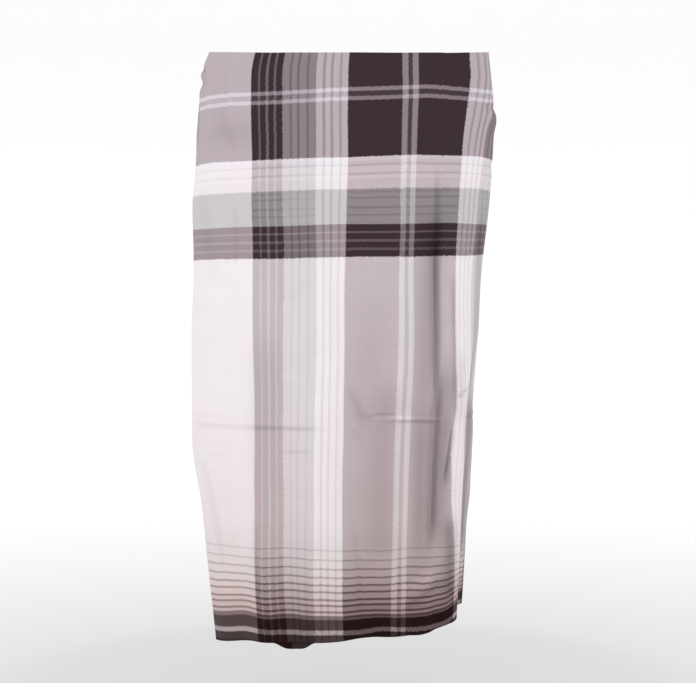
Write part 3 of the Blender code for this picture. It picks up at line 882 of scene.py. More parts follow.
ROW_CROWDS = (
    Crowd(middle=0.0, reach=0.010, strength=3.0),
    Crowd(middle=0.637, reach=0.022, strength=2.6),
    Crowd(middle=1.0, reach=0.012, strength=2.5),
)
FRONT_CROWDS = (Crowd(middle=1.0, reach=0.060, strength=3.0), Crowd(middle=0.0, reach=0.050, strength=1.0))
RIGHT_CROWDS = (Crowd(middle=0.0, reach=0.090, strength=3.5),)


def heights_at(cloth, turn, sag=0.0):
    """Gives the height of every row at each turn, from the waist edge down to the hem less its sag."""
    share = crowded(cloth.rows, ROW_CROWDS)[:, None]
    return rim_height(turn) * (1 - share) + (line_height(HEM, turn) - sag) * share


def inner_sag(turn):
    """Gives how far the inner layer's hem hangs below the one in front of it."""
    return INNER_SAG * plateau(turn - FULL_TURN - INNER_SAG_TURN, INNER_SAG_REACH)


def front_turns(cloth):
    """Spreads the columns of the front from the fold edge to the inner turn, row by row."""
    last = inner_turn(heights_at(cloth, np.array([[INNER_TURNS[-1]]])))
    share = crowded(cloth.front_columns, FRONT_CROWDS)[None, :]
    return FOLD_TURN + (last - FOLD_TURN) * share


def seam_turn(cloth, distance):
    """Gives the turn of each row's end at the seam, moved along the cloth by a distance."""
    return shifted_turn(SEAM_TURN, heights_at(cloth, np.array([[SEAM_TURN]])), 0.0, distance)


class Sheet(NamedTuple):
    """The middle surface of a stretch of cloth, as arrays with a row per height."""
    x: np.ndarray
    y: np.ndarray
    z: np.ndarray
    turn: np.ndarray
    shade: np.ndarray


def hung(cloth, turn, height, lift):
    """Hangs a grid of places on the cloth's form at a lift, with its creases."""
    rise, shade = creases(turn, height)
    x, y = layer(turn, height, lift + cloth.relief * rise)
    return Sheet(x, y, height, turn, shade)


def rolled(cloth, turn, height, low, high, towards):
    """Carries a fold round from the low lift to the high one at one turn."""
    rise, shade = creases(turn, height)
    rise = cloth.relief * rise
    x, y = fold_round(turn, height, low + rise, high + rise, towards, cloth.roll_columns)
    return Sheet(x, y, *(np.broadcast_to(values, x.shape) for values in (height, turn, shade)))


def side_by_side(first, second):
    """Joins two sheets along a shared column."""
    return Sheet(*(np.hstack([a, b]) for a, b in zip(first, second)))


def part_of(sheet, columns):
    """Keeps some of the columns of a sheet."""
    return Sheet(*(values[:, columns] for values in sheet))


def front_wrap_sheet(cloth):
    """Works out the outside stretch: round the fold edge, across the front, to the seam at the back."""
    edge = np.array([[FOLD_TURN]])
    edge_height = heights_at(cloth, edge)
    roll = rolled(cloth, edge, edge_height, LAYER_PITCH, outside_lift(FOLD_TURN, edge_height), -1)
    before = ROLL_TURN_STEP * np.arange(cloth.roll_columns, -1, -1)
    roll = roll._replace(turn=roll.turn - before[None, :])
    front = front_turns(cloth)
    share = crowded(cloth.right_columns, RIGHT_CROWDS)[None, 1:]
    side = front[:, -1:] + (seam_turn(cloth, -JOINT_GAP / 2) - front[:, -1:]) * share
    turn = np.hstack([front, side])
    height = heights_at(cloth, turn)
    flat = hung(cloth, turn, height, outside_lift(turn, height))
    return side_by_side(part_of(roll, slice(0, -1)), flat)


def back_wrap_sheet(cloth):
    """Works out the inner stretch: from the seam round the left side and across the front, inside."""
    first = seam_turn(cloth, JOINT_GAP / 2)
    share = np.linspace(0.0, 1.0, cloth.left_columns + 1)[None, :-1]
    side = first + (FOLD_TURN + FULL_TURN - first) * share
    turn = np.hstack([side, FULL_TURN + front_turns(cloth)])
    height = heights_at(cloth, turn, inner_sag(turn))
    turn[:, -1] = shifted_turn(turn[:, -1], height[:, -1], 0.0, -2 * JOINT_GAP)
    return hung(cloth, turn, height, 0.0)


def fold_return_sheet(cloth):
    """Works out the middle stretch: round the inner turn and back under the front to the fold edge."""
    turn = front_turns(cloth)
    height = heights_at(cloth, turn)
    turn[:, 0] = shifted_turn(turn[:, 0], height[:, 0], LAYER_PITCH, JOINT_GAP)
    turn[:, -1] = shifted_turn(turn[:, -1], height[:, -1], LAYER_PITCH, -JOINT_GAP)
    flat = hung(cloth, turn, height, LAYER_PITCH)
    roll = rolled(cloth, turn[:, -1:], height[:, -1:], 0.0, LAYER_PITCH, 1)
    return side_by_side(flat, part_of(roll, slice(-2, None, -1)))


def lengths_along(sheet):
    """Gives the length of cloth from the first column to each column, row by row."""
    steps = np.hypot(np.diff(sheet.x, axis=1), np.diff(sheet.y, axis=1))
    return np.hstack([np.zeros((len(steps), 1)), np.cumsum(steps, axis=1)])


def chart_places_front(sheet):
    """Places the front wrap in the chart. Between the stripe edges the place follows the turn; left of
    them it follows the length of cloth, and right of them too, drawn out so that it ends at the seam."""
    knots = [column_at(STRIPE_TURNS, name, sheet.z) for name in StripeTurns._fields[1:]]
    lengths = lengths_along(sheet)
    steps = np.diff(lengths, axis=1)
    span = np.diff(sheet.turn, axis=1)

    def length_to(turn):
        """Gives the length of cloth up to a turn, row by row."""
        share = np.clip((turn[:, :-1] - sheet.turn[:, :-1]) / span, 0.0, 1.0)
        return (steps * share).sum(axis=1, keepdims=True)

    place = np.minimum(lengths - length_to(knots[0]), 0.0)
    for index in range(len(MARKS) - 1):
        share = (sheet.turn - knots[index]) / (knots[index + 1] - knots[index])
        place = place + (MARKS[index + 1] - MARKS[index]) * np.clip(share, 0.0, 1.0)
    last = length_to(knots[-1])
    rest = np.clip((lengths - last) / (lengths[:, -1:] - last), 0.0, 1.0)
    return place + (SEAM_PLACE - MARKS[-1]) * rest


def chart_down(turn, height):
    """Places heights in the chart. Each line's slant is a cubic curve round the cloth, and towards the
    hem the lines bend to run with the light line above it."""
    turn = np.mod(turn, FULL_TURN)
    knots = np.array(SLANT_TURNS, dtype=float)
    names = Slant._fields[1:]
    slant = 0.0
    for index, name in enumerate(names + names[:1]):
        share = smooth_between(knots, np.eye(len(knots))[index], turn)
        slant = slant + share * column_at(SLANTS, name, height)
    bend = smooth_step((height - BEND_START) / (BEND_END - BEND_START))
    return -(height + slant * MILLIMETRE) + bend * (HEM_LINE_PLACE + line_height(HEM_LINE, turn))


def quads(grid):
    """Lists the four corners of every cell of a grid of point numbers, first row down, then across."""
    return np.stack([grid[:-1, :-1], grid[1:, :-1], grid[1:, 1:], grid[:-1, 1:]], axis=-1).reshape(-1, 4)


def shell_thickness(cloth, sheet):
    """Gives half the thickness of the cloth at each point: thin, and thicker at the two selvedges."""
    edge = np.minimum(sheet.z[:1] - sheet.z, sheet.z - sheet.z[-1:])
    share = 1 - smooth_step(edge / cloth.selvedge_width)
    return (cloth.thickness + (cloth.selvedge_thickness - cloth.thickness) * share) / 2


def new_mesh(name, points, faces):
    """Makes a mesh from an array of points and lists of corners."""
    mesh = bpy.data.meshes.new(name)
    mesh.from_pydata(points.reshape(-1, 3).tolist(), [], faces)
    return mesh


def shell_mesh(name, cloth, sheet, around):
    """Makes a closed shell: each point of the sheet is moved half a thickness out and in along the
    normal, which is the cross product of the ways down and across, and the two skins are joined."""
    points = np.stack([sheet.x, sheet.y, sheet.z], axis=-1)
    normal = np.cross(np.gradient(points, axis=0), np.gradient(points, axis=1))
    normal /= np.linalg.norm(normal, axis=-1, keepdims=True)
    half = shell_thickness(cloth, sheet)[..., None]
    rows, columns = sheet.x.shape
    outer, inner = np.arange(2 * rows * columns).reshape(2, rows, columns)
    grids = (outer, inner[:, ::-1],
             np.stack([inner[0], outer[0]]), np.stack([outer[-1], inner[-1]]),
             np.stack([inner[:, 0], outer[:, 0]], axis=1), np.stack([outer[:, -1], inner[:, -1]], axis=1))
    faces = np.concatenate([quads(grid) for grid in grids])
    mesh = new_mesh(name, np.stack([points + half * normal, points - half * normal]), faces.tolist())
    add_weave_map(mesh, np.stack([around] * 2), np.stack([chart_down(sheet.turn, sheet.z)] * 2))
    shade = mesh.attributes.new(SHADE, "FLOAT", "POINT")
    shade.data.foreach_set("value", np.tile(sheet.shade.ravel(), 2).astype(np.float32))
    finish_mesh(mesh)
    return mesh


def add_weave_map(mesh, around, down):
    """Gives each corner of the mesh the chart place of its point."""
    chart = np.stack([around, down], axis=-1).reshape(-1, 2)
    corners = np.empty(len(mesh.loops), dtype=np.int32)
    mesh.loops.foreach_get("vertex_index", corners)
    weave = mesh.uv_layers.new(name=WEAVE_MAP)
    weave.uv.foreach_set("vector", chart[corners].astype(np.float32).ravel())


def finish_mesh(mesh):
    """Shades a mesh smooth but for its sharp edges."""
    mesh.validate()
    mesh.update()
    mesh.shade_smooth()
    mesh.set_sharp_from_angle(angle=SHARP_ANGLE)


def tube_mesh(name, points, tubes, rings, sides, way=1):
    """Makes tubes with end caps from points that run ring by ring, facing out (1) or in (-1)."""
    index = np.arange(tubes * rings * sides).reshape(tubes, rings, sides)
    closed = np.concatenate([index, index[:, :, :1]], axis=2)
    above, below = closed[:, :-1], closed[:, 1:]
    faces = np.stack([above[..., :-1], above[..., 1:], below[..., 1:], below[..., :-1]], axis=-1)
    caps = np.concatenate([index[:, 0, ::-1], index[:, -1]])
    return new_mesh(name, points, faces.reshape(-1, 4)[:, ::way].tolist() + caps[:, ::way].tolist())


def add_object(name, data):
    """Adds an object to the scene."""
    made = bpy.data.objects.new(name, data)
    bpy.context.scene.collection.objects.link(made)
    return made


def place_piece(name, mesh, material):
    """Adds a mesh to the scene as a piece that rides with the garment."""
    mesh.materials.append(material)
    piece = add_object(name, mesh)
    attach(piece, BODY)
    return piece


class Reading:
    """One output of a shader node. Sums on it add Math nodes."""

    def __init__(self, board, socket):
        self.board = board
        self.socket = socket

    def math(self, operation, *values):
        """Adds a Math node."""
        return self.board.node("ShaderNodeMath", {"operation": operation}, dict(enumerate(values)))

    def __add__(self, other):
        return self.math("ADD", self, other)

    def __sub__(self, other):
        return self.math("SUBTRACT", self, other)

    def __rsub__(self, other):
        return self.math("SUBTRACT", other, self)

    def __mul__(self, other):
        return self.math("MULTIPLY", self, other)

    def __truediv__(self, other):
        return self.math("DIVIDE", self, other)

    def __gt__(self, other):
        return self.math("GREATER_THAN", self, other)

    def __mod__(self, other):
        return self.math("FLOORED_MODULO", self, other)

    def __abs__(self):
        return self.math("ABSOLUTE", self)

    __radd__ = __add__
    __rmul__ = __mul__

    def sine(self):
        """Gives the sine of a reading in radians."""
        return self.math("SINE", self)

    def least(self, other):
        """Gives the smaller of two readings."""
        return self.math("MINIMUM", self, other)

    def other(self, name):
        """Gives another output of the same node."""
        return Reading(self.board, self.socket.node.outputs[name])


class Board:
    """The node tree of one material."""
    MIX_FACTOR, MIX_A, MIX_B, MIX_RESULT = 0, 6, 7, 2     # the sockets of a colour Mix node

    def __init__(self, name):
        self.material = bpy.data.materials.new(name)
        self.material.use_nodes = True
        self.tree = self.material.node_tree
        self.shader = self.tree.nodes["Principled BSDF"]

    def node(self, kind, settings, sockets, output=0):
        """Adds a node, with its settings first and then the values or links of its sockets."""
        made = self.tree.nodes.new(kind)
        for name, value in settings.items():
            if name == "stops":
                self.fill_ramp(made.color_ramp, value)
            elif name == "blend":
                made.color_ramp.interpolation = value
            else:
                setattr(made, name, value)
        self.feed(made, sockets)
        return Reading(self, made.outputs[output])

    def feed(self, node, sockets):
        """Links readings to sockets of a node, or sets plain values on them."""
        for name, value in sockets.items():
            if isinstance(value, Reading):
                self.tree.links.new(value.socket, node.inputs[name])
            else:
                node.inputs[name].default_value = value

    @staticmethod
    def fill_ramp(ramp, stops):
        """Fills a ramp with its stops, from place 0 on."""
        for index, (place, colour) in enumerate(stops):
            stop = ramp.elements[0] if index == 0 else ramp.elements.new(place)
            stop.position = place
            stop.color = colour
        ramp.elements.remove(ramp.elements[-1])

    def mix(self, factor, a, b, blend="MIX"):
        """Mixes two colours."""
        return self.node("ShaderNodeMix", {"data_type": "RGBA", "blend_type": blend},
                         {self.MIX_FACTOR: factor, self.MIX_A: a, self.MIX_B: b}, self.MIX_RESULT)

    def tint(self, colour, by):
        """Multiplies a colour by another, or by a tone."""
        return self.mix(1.0, colour, by, "MULTIPLY")

    def bump(self, height):
        """Turns a height in metres into a normal."""
        return self.node("ShaderNodeBump", {}, {"Height": height, "Strength": 1.0, "Distance": 1.0})

    def map_range(self, value, low, high):
        """Carries a value, or a colour's brightness, from between low and high to between 0 and 1."""
        return self.node("ShaderNodeMapRange", {}, {"Value": value, "From Min": low, "From Max": high})

    def noise(self, x, y, detail):
        """Reads a soft random pattern at a place whose sizes are already in blots."""
        place = self.node("ShaderNodeCombineXYZ", {}, {"X": x, "Y": y})
        return self.node("ShaderNodeTexNoise", {}, {"Vector": place, "Scale": 1.0, "Detail": detail})

    def blots(self, x, y, detail):
        """Reads such a pattern with its middle at 0."""
        return self.noise(x, y, detail) - 0.5


def chart_stops(dark, pales, chart):
    """Turns a chart into ramp stops from 0 to 1, one at the beginning of each stripe: its colour by its
    share of pale threads, and its cover as the alpha."""
    stops = []
    begin = chart.start
    length = chart.stripes[-1].end - chart.start
    for stripe in chart.stripes:
        pale = np.array(pales[stripe.pale])
        colour = np.array(dark) + (pale - np.array(dark)) * stripe.white
        stops.append(((begin - chart.start) / length, (*colour.tolist(), stripe.cover)))
        begin = stripe.end
    return stops


def read_charts(board, charts, darks, pales, place):
    """Reads the colour and the cover at a place from charts that follow each other."""
    colour, cover = None, None
    for chart, dark in zip(charts, darks):
        length = chart.stripes[-1].end - chart.start
        stops = chart_stops(dark, pales, chart)
        ramp = board.node("ShaderNodeValToRGB", {"blend": "CONSTANT", "stops": stops},
                          {"Fac": (place - chart.start) / length})
        if colour is None:
            colour, cover = ramp, ramp.other("Alpha")
        else:
            past = place > chart.start
            colour = board.mix(past, colour, ramp)
            cover = cover + past * (ramp.other("Alpha") - cover)
    return colour, cover


# Random patterns of the cotton: sizes in metres of cloth
THREAD_BLOT = 0.0011         # across a thread whose tone differs
SLUB_LENGTH = 0.16           # along it
WANDER_SIZE = 0.14           # over which a stripe strays
WANDER = 0.0018              # how far it strays in all
BLOTCH_SIZE = 0.055
CRINKLE_SIZE = 0.016
STREAK_WIDTH = 0.024
STREAK_LENGTH = 0.55

# How the patterns are read
CRINKLE_STRETCH = 1.6        # how much longer than wide a crinkle is
LEVEL_SHIFT = 3.1            # blots by which the pattern of the level threads is shifted
STRAY_SHIFT = 7.3            # and that of the level stripes' edges
STREAK_RANGE = (0.3, 0.7)    # of the pattern, from the cool streaks to the rosy ones

# What they do to the surface
BLOTCH_TONE = 0.06           # how much a blotch differs in tone
BLED_BELOW = 0.06            # brightness of the darker thread below which it tints the weave in full
CLEAN_ABOVE = 0.22           # and above which it does not tint it
WEAVE_RELIEF = 0.00003       # height of the weave's crossings, in metres
SLUB_RELIEF = 0.00005        # height of the thick places in a thread
ROUGHNESS_SPREAD = 0.12      # how much rougher a thick place is
COTTON_GLOSS = {"Specular IOR Level": 0.08, "Sheen Weight": 0.02, "Sheen Roughness": 0.45}


def cotton_material(yarn, name):
    """Makes the checked cotton. Each thread system has a chart; a plain weave shows half of each."""
    board = Board(name)
    chart = board.node("ShaderNodeUVMap", {"uv_map": WEAVE_MAP}, {})
    around = board.node("ShaderNodeSeparateXYZ", {}, {"Vector": chart}, "X")
    down = around.other("Y")
    upright_slub = board.blots(around / THREAD_BLOT, down / SLUB_LENGTH, 2.0)
    level_slub = board.blots(around / SLUB_LENGTH + LEVEL_SHIFT, down / THREAD_BLOT, 2.0)
    stray = board.blots(around / WANDER_SIZE, down / WANDER_SIZE, 1.0)
    strayed_around = around + stray * WANDER + level_slub * yarn.fray
    stray = board.blots(around / WANDER_SIZE + STRAY_SHIFT, down / WANDER_SIZE, 1.0)
    strayed_down = down + stray * WANDER + upright_slub * yarn.fray

    half = REPEAT / 2
    from_pair = abs((strayed_around - (PAIR_MIDDLE - half)) % REPEAT - half)
    darks = (yarn.dark, yarn.dark)
    upright, _ = read_charts(board, UPRIGHT_CHARTS, darks, {"white": yarn.upright_white}, from_pair)
    darks = (yarn.dark, yarn.dark, yarn.dark, yarn.hem_dark)
    pales = {"white": yarn.level_white, "grey": yarn.grey, "rose": yarn.rose}
    level, cover = read_charts(board, LEVEL_CHARTS, darks, pales, strayed_down)
    upright = board.tint(upright, 1 + yarn.slub * upright_slub)
    level = board.tint(level, 1 + yarn.slub * level_slub)
    woven = board.mix(cover, upright, level)

    clean = (board.map_range(upright, BLED_BELOW, CLEAN_ABOVE)
             .least(board.map_range(level, BLED_BELOW, CLEAN_ABOVE)))
    woven = board.tint(woven, board.mix(clean, (*yarn.bled, 1.0), WHITE))
    # Tint down the cloth, with painted shade that darkens it towards the hem
    end = CASTS_AND_SHADE[-1].place
    stops = [(cast_and_shade.place / end, (cast_and_shade.red, cast_and_shade.green, cast_and_shade.blue, 1.0)) for cast_and_shade in CASTS_AND_SHADE]
    cast_and_shade = board.node("ShaderNodeValToRGB", {"blend": "EASE", "stops": stops}, {"Fac": down / end})
    woven = board.tint(woven, cast_and_shade)
    streak = board.map_range(board.noise(around / STREAK_WIDTH, down / STREAK_LENGTH, 2.0), *STREAK_RANGE)
    woven = board.tint(woven, board.mix(streak, (*yarn.cool_cast, 1.0), (*yarn.rosy_cast, 1.0)))
    # Painted shade: the attribute darkens the weave where shadow falls, and lightens it as a painted
    # highlight where it is negative; the blotches are random tone
    shade = board.node("ShaderNodeAttribute", {"attribute_name": SHADE}, {}, "Fac")
    blotch = board.blots(around / BLOTCH_SIZE, down / BLOTCH_SIZE, 3.0)
    woven = board.tint(woven, (1 - shade) * (1 + BLOTCH_TONE * blotch))

    thread_turn = 2 * math.pi / yarn.thread_pitch
    weave = (around * thread_turn).sine() * (down * thread_turn).sine()
    crinkle = board.noise(around / CRINKLE_SIZE, down / (CRINKLE_SIZE * CRINKLE_STRETCH), 3.0)
    slubs = upright_slub + level_slub
    relief = crinkle * yarn.crinkle + weave * WEAVE_RELIEF + slubs * SLUB_RELIEF
    roughness = yarn.roughness + ROUGHNESS_SPREAD * slubs
    board.feed(board.shader, {"Base Color": woven, "Normal": board.bump(relief), "Roughness": roughness})
    board.feed(board.shader, COTTON_GLOSS)
    return board.material


# Slanting bands of the sewing thread
TWIST_UP = 9000.0            # radians of band in a metre up
TWIST_ACROSS = 5000.0        # and across
TWIST_TONE = 0.10            # how much they differ in tone
TWIST_RELIEF = 0.00002       # and in height, in metres
THREAD_ROUGHNESS = 0.72
TWIST_ROUGHNESS = 0.05       # how much rougher a band is


def thread_material(sewing, name):
    """Makes the sewing thread: twisted cotton whose strands show as slanting bands."""
    board = Board(name)
    place = board.node("ShaderNodeTexCoord", {}, {}, "Object")
    across = board.node("ShaderNodeSeparateXYZ", {}, {"Vector": place}, "X")
    twist = (across.other("Z") * TWIST_UP + across * TWIST_ACROSS).sine()
    board.feed(board.shader, {
        "Base Color": board.tint((*sewing.thread, 1.0), 1 + TWIST_TONE * twist),
        "Normal": board.bump(twist * TWIST_RELIEF),
        "Roughness": THREAD_ROUGHNESS + TWIST_ROUGHNESS * twist,
    })
    return board.material


def shared_cotton(context):
    """Gives the one cotton material that all stretches wear."""
    name = "woven_checked_cotton"
    return bpy.data.materials.get(name) or cotton_material(context.scene.sarong_yarn, name)


def hang_stretch(context, name, node, sheet, around):
    """Makes one stretch of the cloth, in place of its solid."""
    mesh = shell_mesh(name, context.scene.sarong_cloth, sheet, around)
    piece = place_piece(name, mesh, shared_cotton(context))
    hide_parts(node)


class SARONG_OT_back_seam(bpy.types.Operator):
    """Sew the felled seam at the back, with its two rows of stitches"""
    bl_idname = "sarong.back_seam"
    bl_label = "Back Seam"

    SIDES = 12               # corners round the seam's cross-cut
    STITCH_SIDES = 6
    STITCH_RINGS = (-1.0, -0.8, -0.3, 0.3, 0.8, 1.0)     # from one end of a stitch to the other
    STITCH_ROUND = 1.1       # squared way along a stitch, from its middle, at which its radius would be 0
    STITCH_BULGE = 0.8       # how far its middle bulges out, in thread radii
    END_INSET = 0.003        # from the selvedges to the ends of the stitching
    SIDE_POWER = 0.35        # the smaller, the squarer the seam's cross-cut is across
    FACE_POWER = 0.6         # and from face to face

    def execute(self, context):
        cloth, sewing = context.scene.sarong_cloth, context.scene.sarong_sewing
        place_piece("back_seam", self.seam_mesh(cloth, sewing), shared_cotton(context))
        thread = thread_material(sewing, "sewing_thread")
        place_piece("seam_stitches", self.stitch_mesh(cloth, sewing), thread)
        return {"FINISHED"}

    @staticmethod
    def on_seam(cloth, aside, height, lift):
        """Gives points beside the seam: moved along the cloth by a distance and out by a lift."""
        turn = shifted_turn(SEAM_TURN, height, 0.0, aside)
        rise, _ = creases(np.full(np.shape(height), SEAM_TURN), height)
        x, y = layer(turn, height, lift + cloth.relief * rise)
        return np.stack([x, y, height], axis=-1)

    def seam_mesh(self, cloth, sewing):
        """Carries a flat rounded bar down the back: its corners lie on an ellipse whose cosine and sine
        are raised to small powers, which squares it up."""
        angle = np.linspace(0.0, 2 * math.pi, self.SIDES, endpoint=False)[None, :]
        side, face = np.cos(angle), np.sin(angle)
        height = heights_at(cloth, np.array([[SEAM_TURN]])) + np.zeros_like(angle)
        aside = sewing.seam_width / 2 * np.sign(side) * np.abs(side) ** self.SIDE_POWER + 0 * height
        lift = sewing.seam_thickness / 2 * np.sign(face) * np.abs(face) ** self.FACE_POWER
        mesh = tube_mesh("back_seam", self.on_seam(cloth, aside, height, lift), 1, *height.shape)
        down = chart_down(np.full(height.shape, SEAM_TURN), height)
        add_weave_map(mesh, SEAM_PLACE + aside, down)
        finish_mesh(mesh)
        return mesh

    def stitch_mesh(self, cloth, sewing):
        """Lays stitches in two rows on the seam: each is a short tube whose radius follows the root of
        a number less the square of the way along it, and whose middle bulges out."""
        top, bottom = heights_at(cloth, np.array([[SEAM_TURN]]))[[0, -1], 0]
        count = int((top - bottom - 2 * self.END_INSET) / sewing.stitch_pitch)
        middle = top - self.END_INSET - (np.arange(count) + 0.5) * sewing.stitch_pitch
        offset = sewing.seam_width / 2 - sewing.row_inset
        middle, side = (values.reshape(-1, 1, 1) for values in np.meshgrid(middle, (-offset, offset)))
        along = np.array(self.STITCH_RINGS).reshape(1, -1, 1)
        angle = np.linspace(0.0, 2 * math.pi, self.STITCH_SIDES, endpoint=False).reshape(1, 1, -1)
        radius = sewing.thread_radius * np.sqrt(self.STITCH_ROUND - along ** 2)
        height = middle - along * sewing.stitch_length / 2 + np.zeros_like(angle)
        aside = side + radius * np.cos(angle)
        out = sewing.seam_thickness / 2 + sewing.thread_radius * self.STITCH_BULGE * (1 - along ** 2)
        lift = out + radius * np.sin(angle) + np.zeros_like(height)
        points = self.on_seam(cloth, *(values.reshape(-1, 1) for values in (aside, height, lift)))
        mesh = tube_mesh("seam_stitches", points, *height.shape)
        finish_mesh(mesh)
        return mesh


class SARONG_OT_front_wrap(bpy.types.Operator):
    """Hang the outside stretch, from the fold edge across the front and round the right to the seam"""
    bl_idname = "sarong.front_wrap"
    bl_label = "Front Wrap"

    def execute(self, context):
        sheet = front_wrap_sheet(context.scene.sarong_cloth)
        hang_stretch(context, "front_wrap_cloth", "front_wrap", sheet, chart_places_front(sheet))
        return {"FINISHED"}


class SARONG_OT_back_wrap(bpy.types.Operator):
    """Hang the inner stretch, from the seam round the left and across the front, inside"""
    bl_idname = "sarong.back_wrap"
    bl_label = "Back Wrap"

    def execute(self, context):
        sheet = back_wrap_sheet(context.scene.sarong_cloth)
        around = SEAM_PLACE + lengths_along(sheet)
        hang_stretch(context, "back_wrap_cloth", "back_wrap", sheet, around)
        return {"FINISHED"}


class SARONG_OT_fold_return(bpy.types.Operator):
    """Hang the middle stretch, from the inner turn back under the front to the fold edge"""
    bl_idname = "sarong.fold_return"
    bl_label = "Fold Return"

    def execute(self, context):
        sheet = fold_return_sheet(context.scene.sarong_cloth)
        around = FOLD_EDGE_PLACE - lengths_along(sheet)
        hang_stretch(context, "fold_return_cloth", "fold_return", sheet, around)
        return {"FINISHED"}


class SARONG_OT_studio(bpy.types.Operator):
    """Set up the pale floor and backdrop, the soft lamps and the camera"""
    bl_idname = "sarong.studio"
    bl_label = "Studio"

    ROUND_STEPS = 96
    CURVE_STEPS = 40
    CURVE_RADIUS = 2.2
    KEY_PLACE = (-2.1, -2.3, 1.2)
    KEY_SIZE = 1.8
    FILL_PLACE = (2.4, -2.2, 0.1)
    FILL_SIZE = 2.4
    LAMP_AIM = (0.0, 0.0, -0.50)
    SKY_COLOUR = (1.0, 0.995, 1.0, 1.0)
    PAPER = (0.08, 0.08, 0.08, 1.0)
    GRAIN_TONE = 0.004
    GRAIN_ACROSS = 40.0      # blots of the paper's grain in a metre, across the random pattern
    GRAIN_DOWN = 3.0         # and down it
    CLIP_START = 0.05
    CLIP_END = 100.0
    # radius of the floor, share of the way from the near glow to the far one
    GLOW_STOPS = (
        (0.0, 0.0), (0.48, 0.02), (0.68, 0.20), (1.09, 0.42), (1.94, 0.72), (3.40, 1.0), (5.0, 1.0),
        (5.6, 0.79),
    )

    def execute(self, context):
        studio = context.scene.sarong_studio
        floor_height = float(CAD_BOX[0][2]) - studio.floor_drop
        backdrop = add_object("backdrop", self.backdrop_mesh(studio, floor_height))
        backdrop.visible_diffuse = False
        backdrop.visible_glossy = False
        backdrop.visible_shadow = False
        self.add_lamp("key_lamp", self.KEY_PLACE, self.KEY_SIZE, studio.key_power)
        self.add_lamp("fill_lamp", self.FILL_PLACE, self.FILL_SIZE, studio.fill_power)
        self.add_sky(context, studio)
        self.add_camera(context)
        return {"FINISHED"}

    def backdrop_mesh(self, studio, floor_height):
        """Turns a profile about the upright axis: flat floor, a quarter circle, and a wall that closes
        over the top as a quarter ellipse."""
        angle = np.linspace(0.0, math.pi / 2, self.CURVE_STEPS)
        floor = np.linspace(0.0, studio.floor_radius, self.CURVE_STEPS)[1:]
        corner = studio.floor_radius + self.CURVE_RADIUS * np.sin(angle[1:])
        corner_height = self.CURVE_RADIUS * (1 - np.cos(angle[1:]))
        outer = studio.floor_radius + self.CURVE_RADIUS
        dome = outer * np.cos(angle[1:-1])
        dome_height = self.CURVE_RADIUS + studio.wall_height * np.sin(angle[1:-1])
        radius = np.concatenate([floor, corner, dome])[:, None]
        height = np.concatenate([np.zeros_like(floor), corner_height, dome_height])[:, None] + floor_height
        turn = np.linspace(0.0, 2 * math.pi, self.ROUND_STEPS, endpoint=False)[None, :]
        points = np.stack([radius * np.cos(turn), radius * np.sin(turn), height + 0 * turn], axis=-1)
        mesh = tube_mesh("backdrop", points, 1, *points.shape[:2], way=-1)
        finish_mesh(mesh)
        mesh.materials.append(self.backdrop_material(studio))
        return mesh

    def backdrop_material(self, studio):
        """Makes pale paper that glows a little, more so away from the middle of the floor."""
        board = Board("pale_paper")
        place = board.node("ShaderNodeTexCoord", {}, {}, "Object")
        flat = board.node("ShaderNodeVectorMath", {"operation": "MULTIPLY"}, {0: place, 1: (1.0, 1.0, 0.0)})
        away = board.node("ShaderNodeVectorMath", {"operation": "LENGTH"}, {0: flat}, "Value")
        reach = self.GLOW_STOPS[-1][0]
        curve = board.node("ShaderNodeFloatCurve", {}, {"Value": away / reach})
        points = curve.socket.node.mapping.curves[0].points
        points[0].location = self.GLOW_STOPS[0]
        for radius, share in self.GLOW_STOPS[1:-1]:
            points.new(radius / reach, share)
        points[-1].location = (1.0, self.GLOW_STOPS[-1][1])
        curve.socket.node.mapping.update()
        grain = board.blots(away * self.GRAIN_ACROSS, away * self.GRAIN_DOWN, 2.0)
        glow = studio.near_white + (studio.far_white - studio.near_white) * curve + self.GRAIN_TONE * grain
        board.feed(board.shader, {"Emission Color": glow, "Emission Strength": 1.0})
        board.feed(board.shader, {"Base Color": self.PAPER, "Roughness": 1.0, "Specular IOR Level": 0.0})
        return board.material

    def add_lamp(self, name, place, size, power):
        """Adds a square soft lamp that looks at the middle of the cloth."""
        light = bpy.data.lights.new(name, "AREA")
        light.size = size
        light.energy = power
        lamp = add_object(name, light)
        lamp.location = place
        away = np.array(place) - np.array(self.LAMP_AIM)
        level = math.hypot(away[0], away[1])
        lamp.rotation_euler = (math.atan2(level, away[2]), 0.0, math.atan2(away[0], -away[1]))
        lamp.visible_camera = False

    def add_sky(self, context, studio):
        """Lights everything evenly from all round."""
        world = bpy.data.worlds.new("even_sky")
        world.use_nodes = True
        background = world.node_tree.nodes["Background"]
        background.inputs["Color"].default_value = self.SKY_COLOUR
        background.inputs["Strength"].default_value = studio.sky
        context.scene.world = world

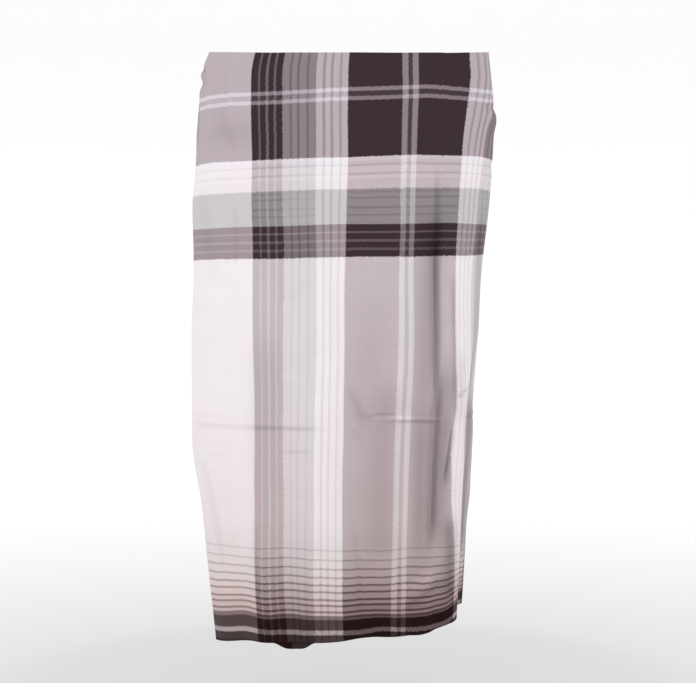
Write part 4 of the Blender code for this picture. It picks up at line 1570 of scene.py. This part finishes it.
    def add_camera(self, context):
        """Adds the camera, level with the middle of the cloth."""
        camera = bpy.data.cameras.new("camera")
        camera.lens = CAMERA_LENS
        camera.sensor_fit = "HORIZONTAL"
        camera.sensor_width = SENSOR_WIDTH
        camera.clip_start = self.CLIP_START
        camera.clip_end = self.CLIP_END
        stand = add_object("camera", camera)
        stand.location = CAMERA_PLACE
        stand.rotation_euler = (math.pi / 2, 0.0, 0.0)
        context.scene.camera = stand
        context.scene.view_settings.view_transform = "Standard"


class SARONG_PT_panel(bpy.types.Panel):
    """The sizes, the colours and the steps of the sarong"""
    bl_label = "Sarong"
    bl_idname = "SARONG_PT_panel"
    bl_space_type = "VIEW_3D"
    bl_region_type = "UI"
    bl_category = "Sarong"

    def draw(self, context):
        for group, settings in GROUPS.items():
            box = self.layout.box()
            box.label(text=group.removeprefix("sarong_").capitalize())
            for name in settings.__annotations__:
                box.prop(getattr(context.scene, group), name)
        for operator in OPERATORS:
            self.layout.operator(operator.bl_idname)


GROUPS = {
    "sarong_cloth": SarongCloth,
    "sarong_yarn": SarongYarn,
    "sarong_sewing": SarongSewing,
    "sarong_studio": SarongStudio,
}
OPERATORS = (
    SARONG_OT_back_seam,
    SARONG_OT_front_wrap,
    SARONG_OT_back_wrap,
    SARONG_OT_fold_return,
    SARONG_OT_studio,
)


def register():
    """Registers the add-on's classes and hangs its settings on the scene."""
    for name, group in GROUPS.items():
        bpy.utils.register_class(group)
        setattr(bpy.types.Scene, name, PointerProperty(type=group))
    for operator in OPERATORS:
        bpy.utils.register_class(operator)
    bpy.utils.register_class(SARONG_PT_panel)


def unregister():
    """Takes away what register added."""
    bpy.utils.unregister_class(SARONG_PT_panel)
    for operator in reversed(OPERATORS):
        bpy.utils.unregister_class(operator)
    for name, group in reversed(GROUPS.items()):
        delattr(bpy.types.Scene, name)
        bpy.utils.unregister_class(group)


def main():
    """Runs every step in order."""
    register()
    bpy.ops.sarong.back_seam()
    bpy.ops.sarong.front_wrap()
    bpy.ops.sarong.back_wrap()
    bpy.ops.sarong.fold_return()
    bpy.ops.sarong.studio()
    bpy.context.view_layer.update()


if __name__ == "__main__":
    main()
